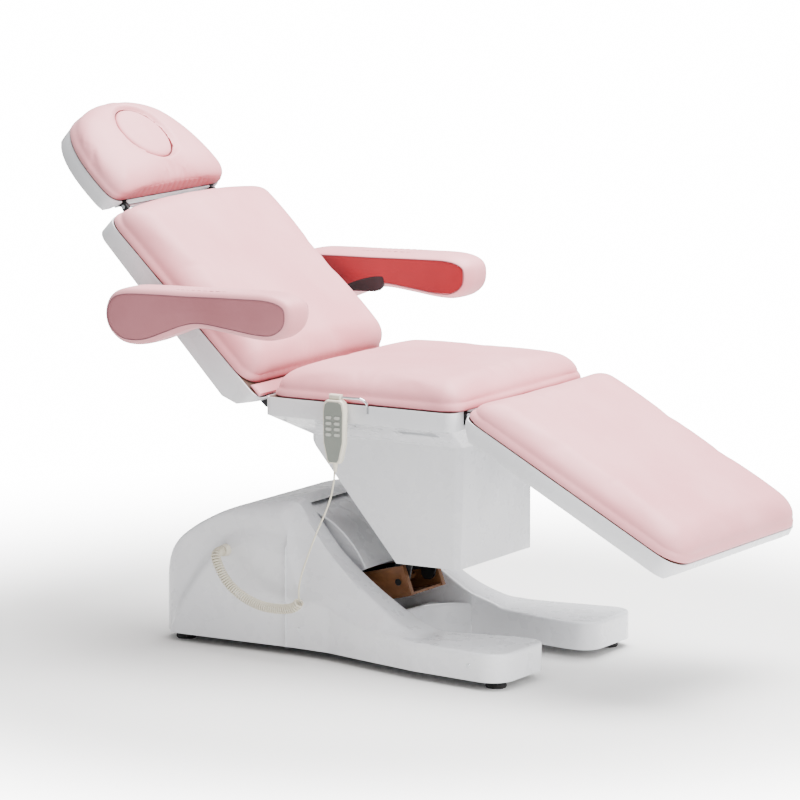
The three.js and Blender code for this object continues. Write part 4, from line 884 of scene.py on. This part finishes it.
def add_base_cover(mat):
    work = Patchwork()
    half_cover(work)
    points = np.array(work.points)
    count = len(points)
    both = np.concatenate([points, points * [1, -1, 1]])
    faces = work.faces + [tuple(k + count for k in reversed(f)) for f in work.faces]
    obj = mesh_object("base_cover_moulding", [bed_point(*p) for p in both], faces, mat["white_shell"])
    outward(obj, merge=0.0004)
    apply_modifier(obj, "SOLIDIFY", thickness=BASE_WALL * MM, offset=-1)
    only(obj)
    bpy.ops.object.shade_smooth_by_angle(angle=math.radians(38))
    ride(obj, "base", "base_cover", slot="white_shell")


# ---------------------------------------------------------------- shells and metalwork
def copied(node, name, material):
    source = frame["nodes"][node]
    obj = bpy.data.objects.new(name, source.data.copy())
    bpy.context.scene.collection.objects.link(obj)
    obj.data.materials.clear()
    obj.data.materials.append(material)
    work = bmesh.new()
    work.from_mesh(obj.data)
    bmesh.ops.remove_doubles(work, verts=work.verts, dist=0.00002)
    bmesh.ops.dissolve_limit(work, angle_limit=math.radians(1.5), verts=work.verts, edges=work.edges)
    work.to_mesh(obj.data)
    work.free()
    return obj


def refined(node, name, body, material, slot, radius, angle=28, segments=3):
    """The node's own shape with its mould radii and smooth curves."""
    obj = copied(node, name, material)
    apply_modifier(obj, "BEVEL", width=radius * MM, segments=segments, limit_method="ANGLE",
                   angle_limit=math.radians(angle), harden_normals=False, use_clamp_overlap=True)
    only(obj)
    bpy.ops.object.shade_smooth_by_angle(angle=math.radians(35))
    return ride(obj, body, node, slot=slot)


def add_shells(mat):
    white = mat["white_shell"]
    refined("seat_housing", "seat_housing_moulding", "seat", white, "white_shell", 3)
    refined("back_shell", "backrest_shell_moulding", "backrest", white, "white_shell", 3)
    refined("head_shell", "headrest_shell_moulding", "headrest", white, "white_shell", 3)
    refined("leg_shell", "leg_rest_shell_moulding", "leg_rest", white, "white_shell", 3)
    refined("lift_cover", "lift_cover_moulding", "lift_arm", white, "white_shell", 1)
    refined("lift_arm", "lift_arm_weldment", "lift_arm", mat["primed_steel"], "primed_steel", 1.5)
    refined("handset_body", "handset_case", "seat", mat["beige_plastic"], "beige_plastic", 0.6, 40, 2)


def surface_at(target, x, z):
    """The near side of a moulding at a height and a distance along the bed, and the way it faces."""
    start = bed_point(x, -900, z)
    found, point, normal, _ = bpy.data.objects[target].ray_cast(start, Vector((0, 1, 0)))
    assert found, f"{target} has no near side at {x}, {z}"
    return point, normal


def laid_on(obj, point, normal):
    turn = Vector((0, 0, 1)).rotation_difference(normal)
    upright = turn @ Vector((0, 1, 0))
    wanted = (Vector((0, 0, 1)) - normal * normal.z).normalized()
    spin = math.atan2(upright.cross(wanted).dot(normal), upright.dot(wanted))
    rotation = Quaternion(normal, spin) @ turn
    obj.data.transform(rotation.to_matrix().to_4x4())
    obj.data.transform(Matrix.Translation(point))


def add_screw(name, target, body, slot, x, z, radius, material):
    bpy.ops.object.select_all(action="DESELECT")
    bpy.ops.mesh.primitive_cylinder_add(vertices=32, radius=radius * MM, depth=2.4 * MM)
    head = bpy.context.object
    head.name = name
    apply_modifier(head, "BEVEL", width=0.9 * MM, segments=3, limit_method="ANGLE")
    for turn in (0, math.pi / 2):
        bpy.ops.object.select_all(action="DESELECT")
        bpy.ops.mesh.primitive_cube_add(size=1, location=(0, 0, 1.2 * MM), rotation=(0, 0, turn))
        cutter = bpy.context.object
        cutter.scale = (radius * 1.1 * MM, 0.9 * MM, 1.4 * MM)
        only(cutter)
        bpy.ops.object.transform_apply(location=True, rotation=True, scale=True)
        apply_modifier(head, "BOOLEAN", object=cutter, operation="DIFFERENCE", solver="EXACT")
        bpy.data.objects.remove(cutter)
    head.data.materials.clear()
    head.data.materials.append(material)
    only(head)
    bpy.ops.object.shade_smooth_by_angle(angle=math.radians(35))
    laid_on(head, *surface_at(target, x, z))
    ride(head, body, slot=slot)


# length, height, thickness, and the middle along the bed and in height
BADGE_SIZE = (100, 20, 1.6)
BADGE_MIDDLE = (211, 562)


def add_badge(mat):
    bpy.ops.object.select_all(action="DESELECT")
    bpy.ops.mesh.primitive_cube_add(size=1)
    plate = bpy.context.object
    plate.name = "blank_badge_plate"
    plate.scale = [length * MM for length in BADGE_SIZE]
    bpy.ops.object.transform_apply(location=True, rotation=True, scale=True)
    apply_modifier(plate, "BEVEL", width=0.7 * MM, segments=3)
    plate.data.materials.append(mat["badge"])
    only(plate)
    bpy.ops.object.shade_smooth_by_angle(angle=math.radians(35))
    laid_on(plate, *surface_at("seat_housing_moulding", *BADGE_MIDDLE))
    ride(plate, "seat", slot="white_shell")


# name, moulding, body, place along the bed, height, head radius
SCREWS = [("base_screw_rear", "base_cover_moulding", "base", -145, 65, 5),
          ("base_screw_front", "base_cover_moulding", "base", 367, 54, 5),
          ("housing_screw_rear", "seat_housing_moulding", "seat", -145, 563, 4),
          ("housing_screw_middle", "seat_housing_moulding", "seat", 54, 569, 4)]


def add_fixings(mat):
    for name, target, body, x, z, radius in SCREWS:
        add_screw(name, target, body, "white_shell", x, z, radius, mat["chrome"])


def finish_cad_nodes(mat):
    slots = {part["node"]: part["material_slot"] for part in frame["record"]["subparts"]}
    for node, obj in frame["nodes"].items():
        obj.data.materials.clear()
        obj.data.materials.append(mat[slots[node]])


FLOOR_FADE = {"From Min": 1.0, "From Max": 2.6, "interpolation_type": "SMOOTHSTEP"}
FLOOR_SIZE = 120


def add_floor():
    floor, tree, principled, place = new_material("matt_studio_floor", Roughness=0.9)
    colour_patches(tree, place, principled, "f4f3f1", "f7f6f4", 0.6)
    reach = add_node(tree, "ShaderNodeVectorMath", {"operation": "LENGTH"}, {"Vector": place})
    fade = add_node(tree, "ShaderNodeMapRange", FLOOR_FADE, {"Value": reach.outputs["Value"]})
    clear = add_node(tree, "ShaderNodeBsdfTransparent")
    blend = add_node(tree, "ShaderNodeMixShader", links={"Fac": fade.outputs["Result"], 1: principled.outputs[0]})
    tree.links.new(clear.outputs[0], blend.inputs[2])
    tree.links.new(blend.outputs[0], tree.nodes["Material Output"].inputs["Surface"])
    bpy.ops.object.select_all(action="DESELECT")
    bpy.ops.mesh.primitive_plane_add(size=FLOOR_SIZE)
    plane = bpy.context.object
    plane.name = "studio_floor"
    plane.data.materials.append(floor)


add_camera()
materials = make_materials()
add_cords(materials)
add_lights()
add_floor()
finish_cad_nodes(materials)
add_cushions(materials)
add_head_cushion(materials)
add_armrest(-1, "near", materials)
add_armrest(1, "far", materials)
add_shells(materials)
add_base_cover(materials)
add_fixings(materials)
add_badge(materials)
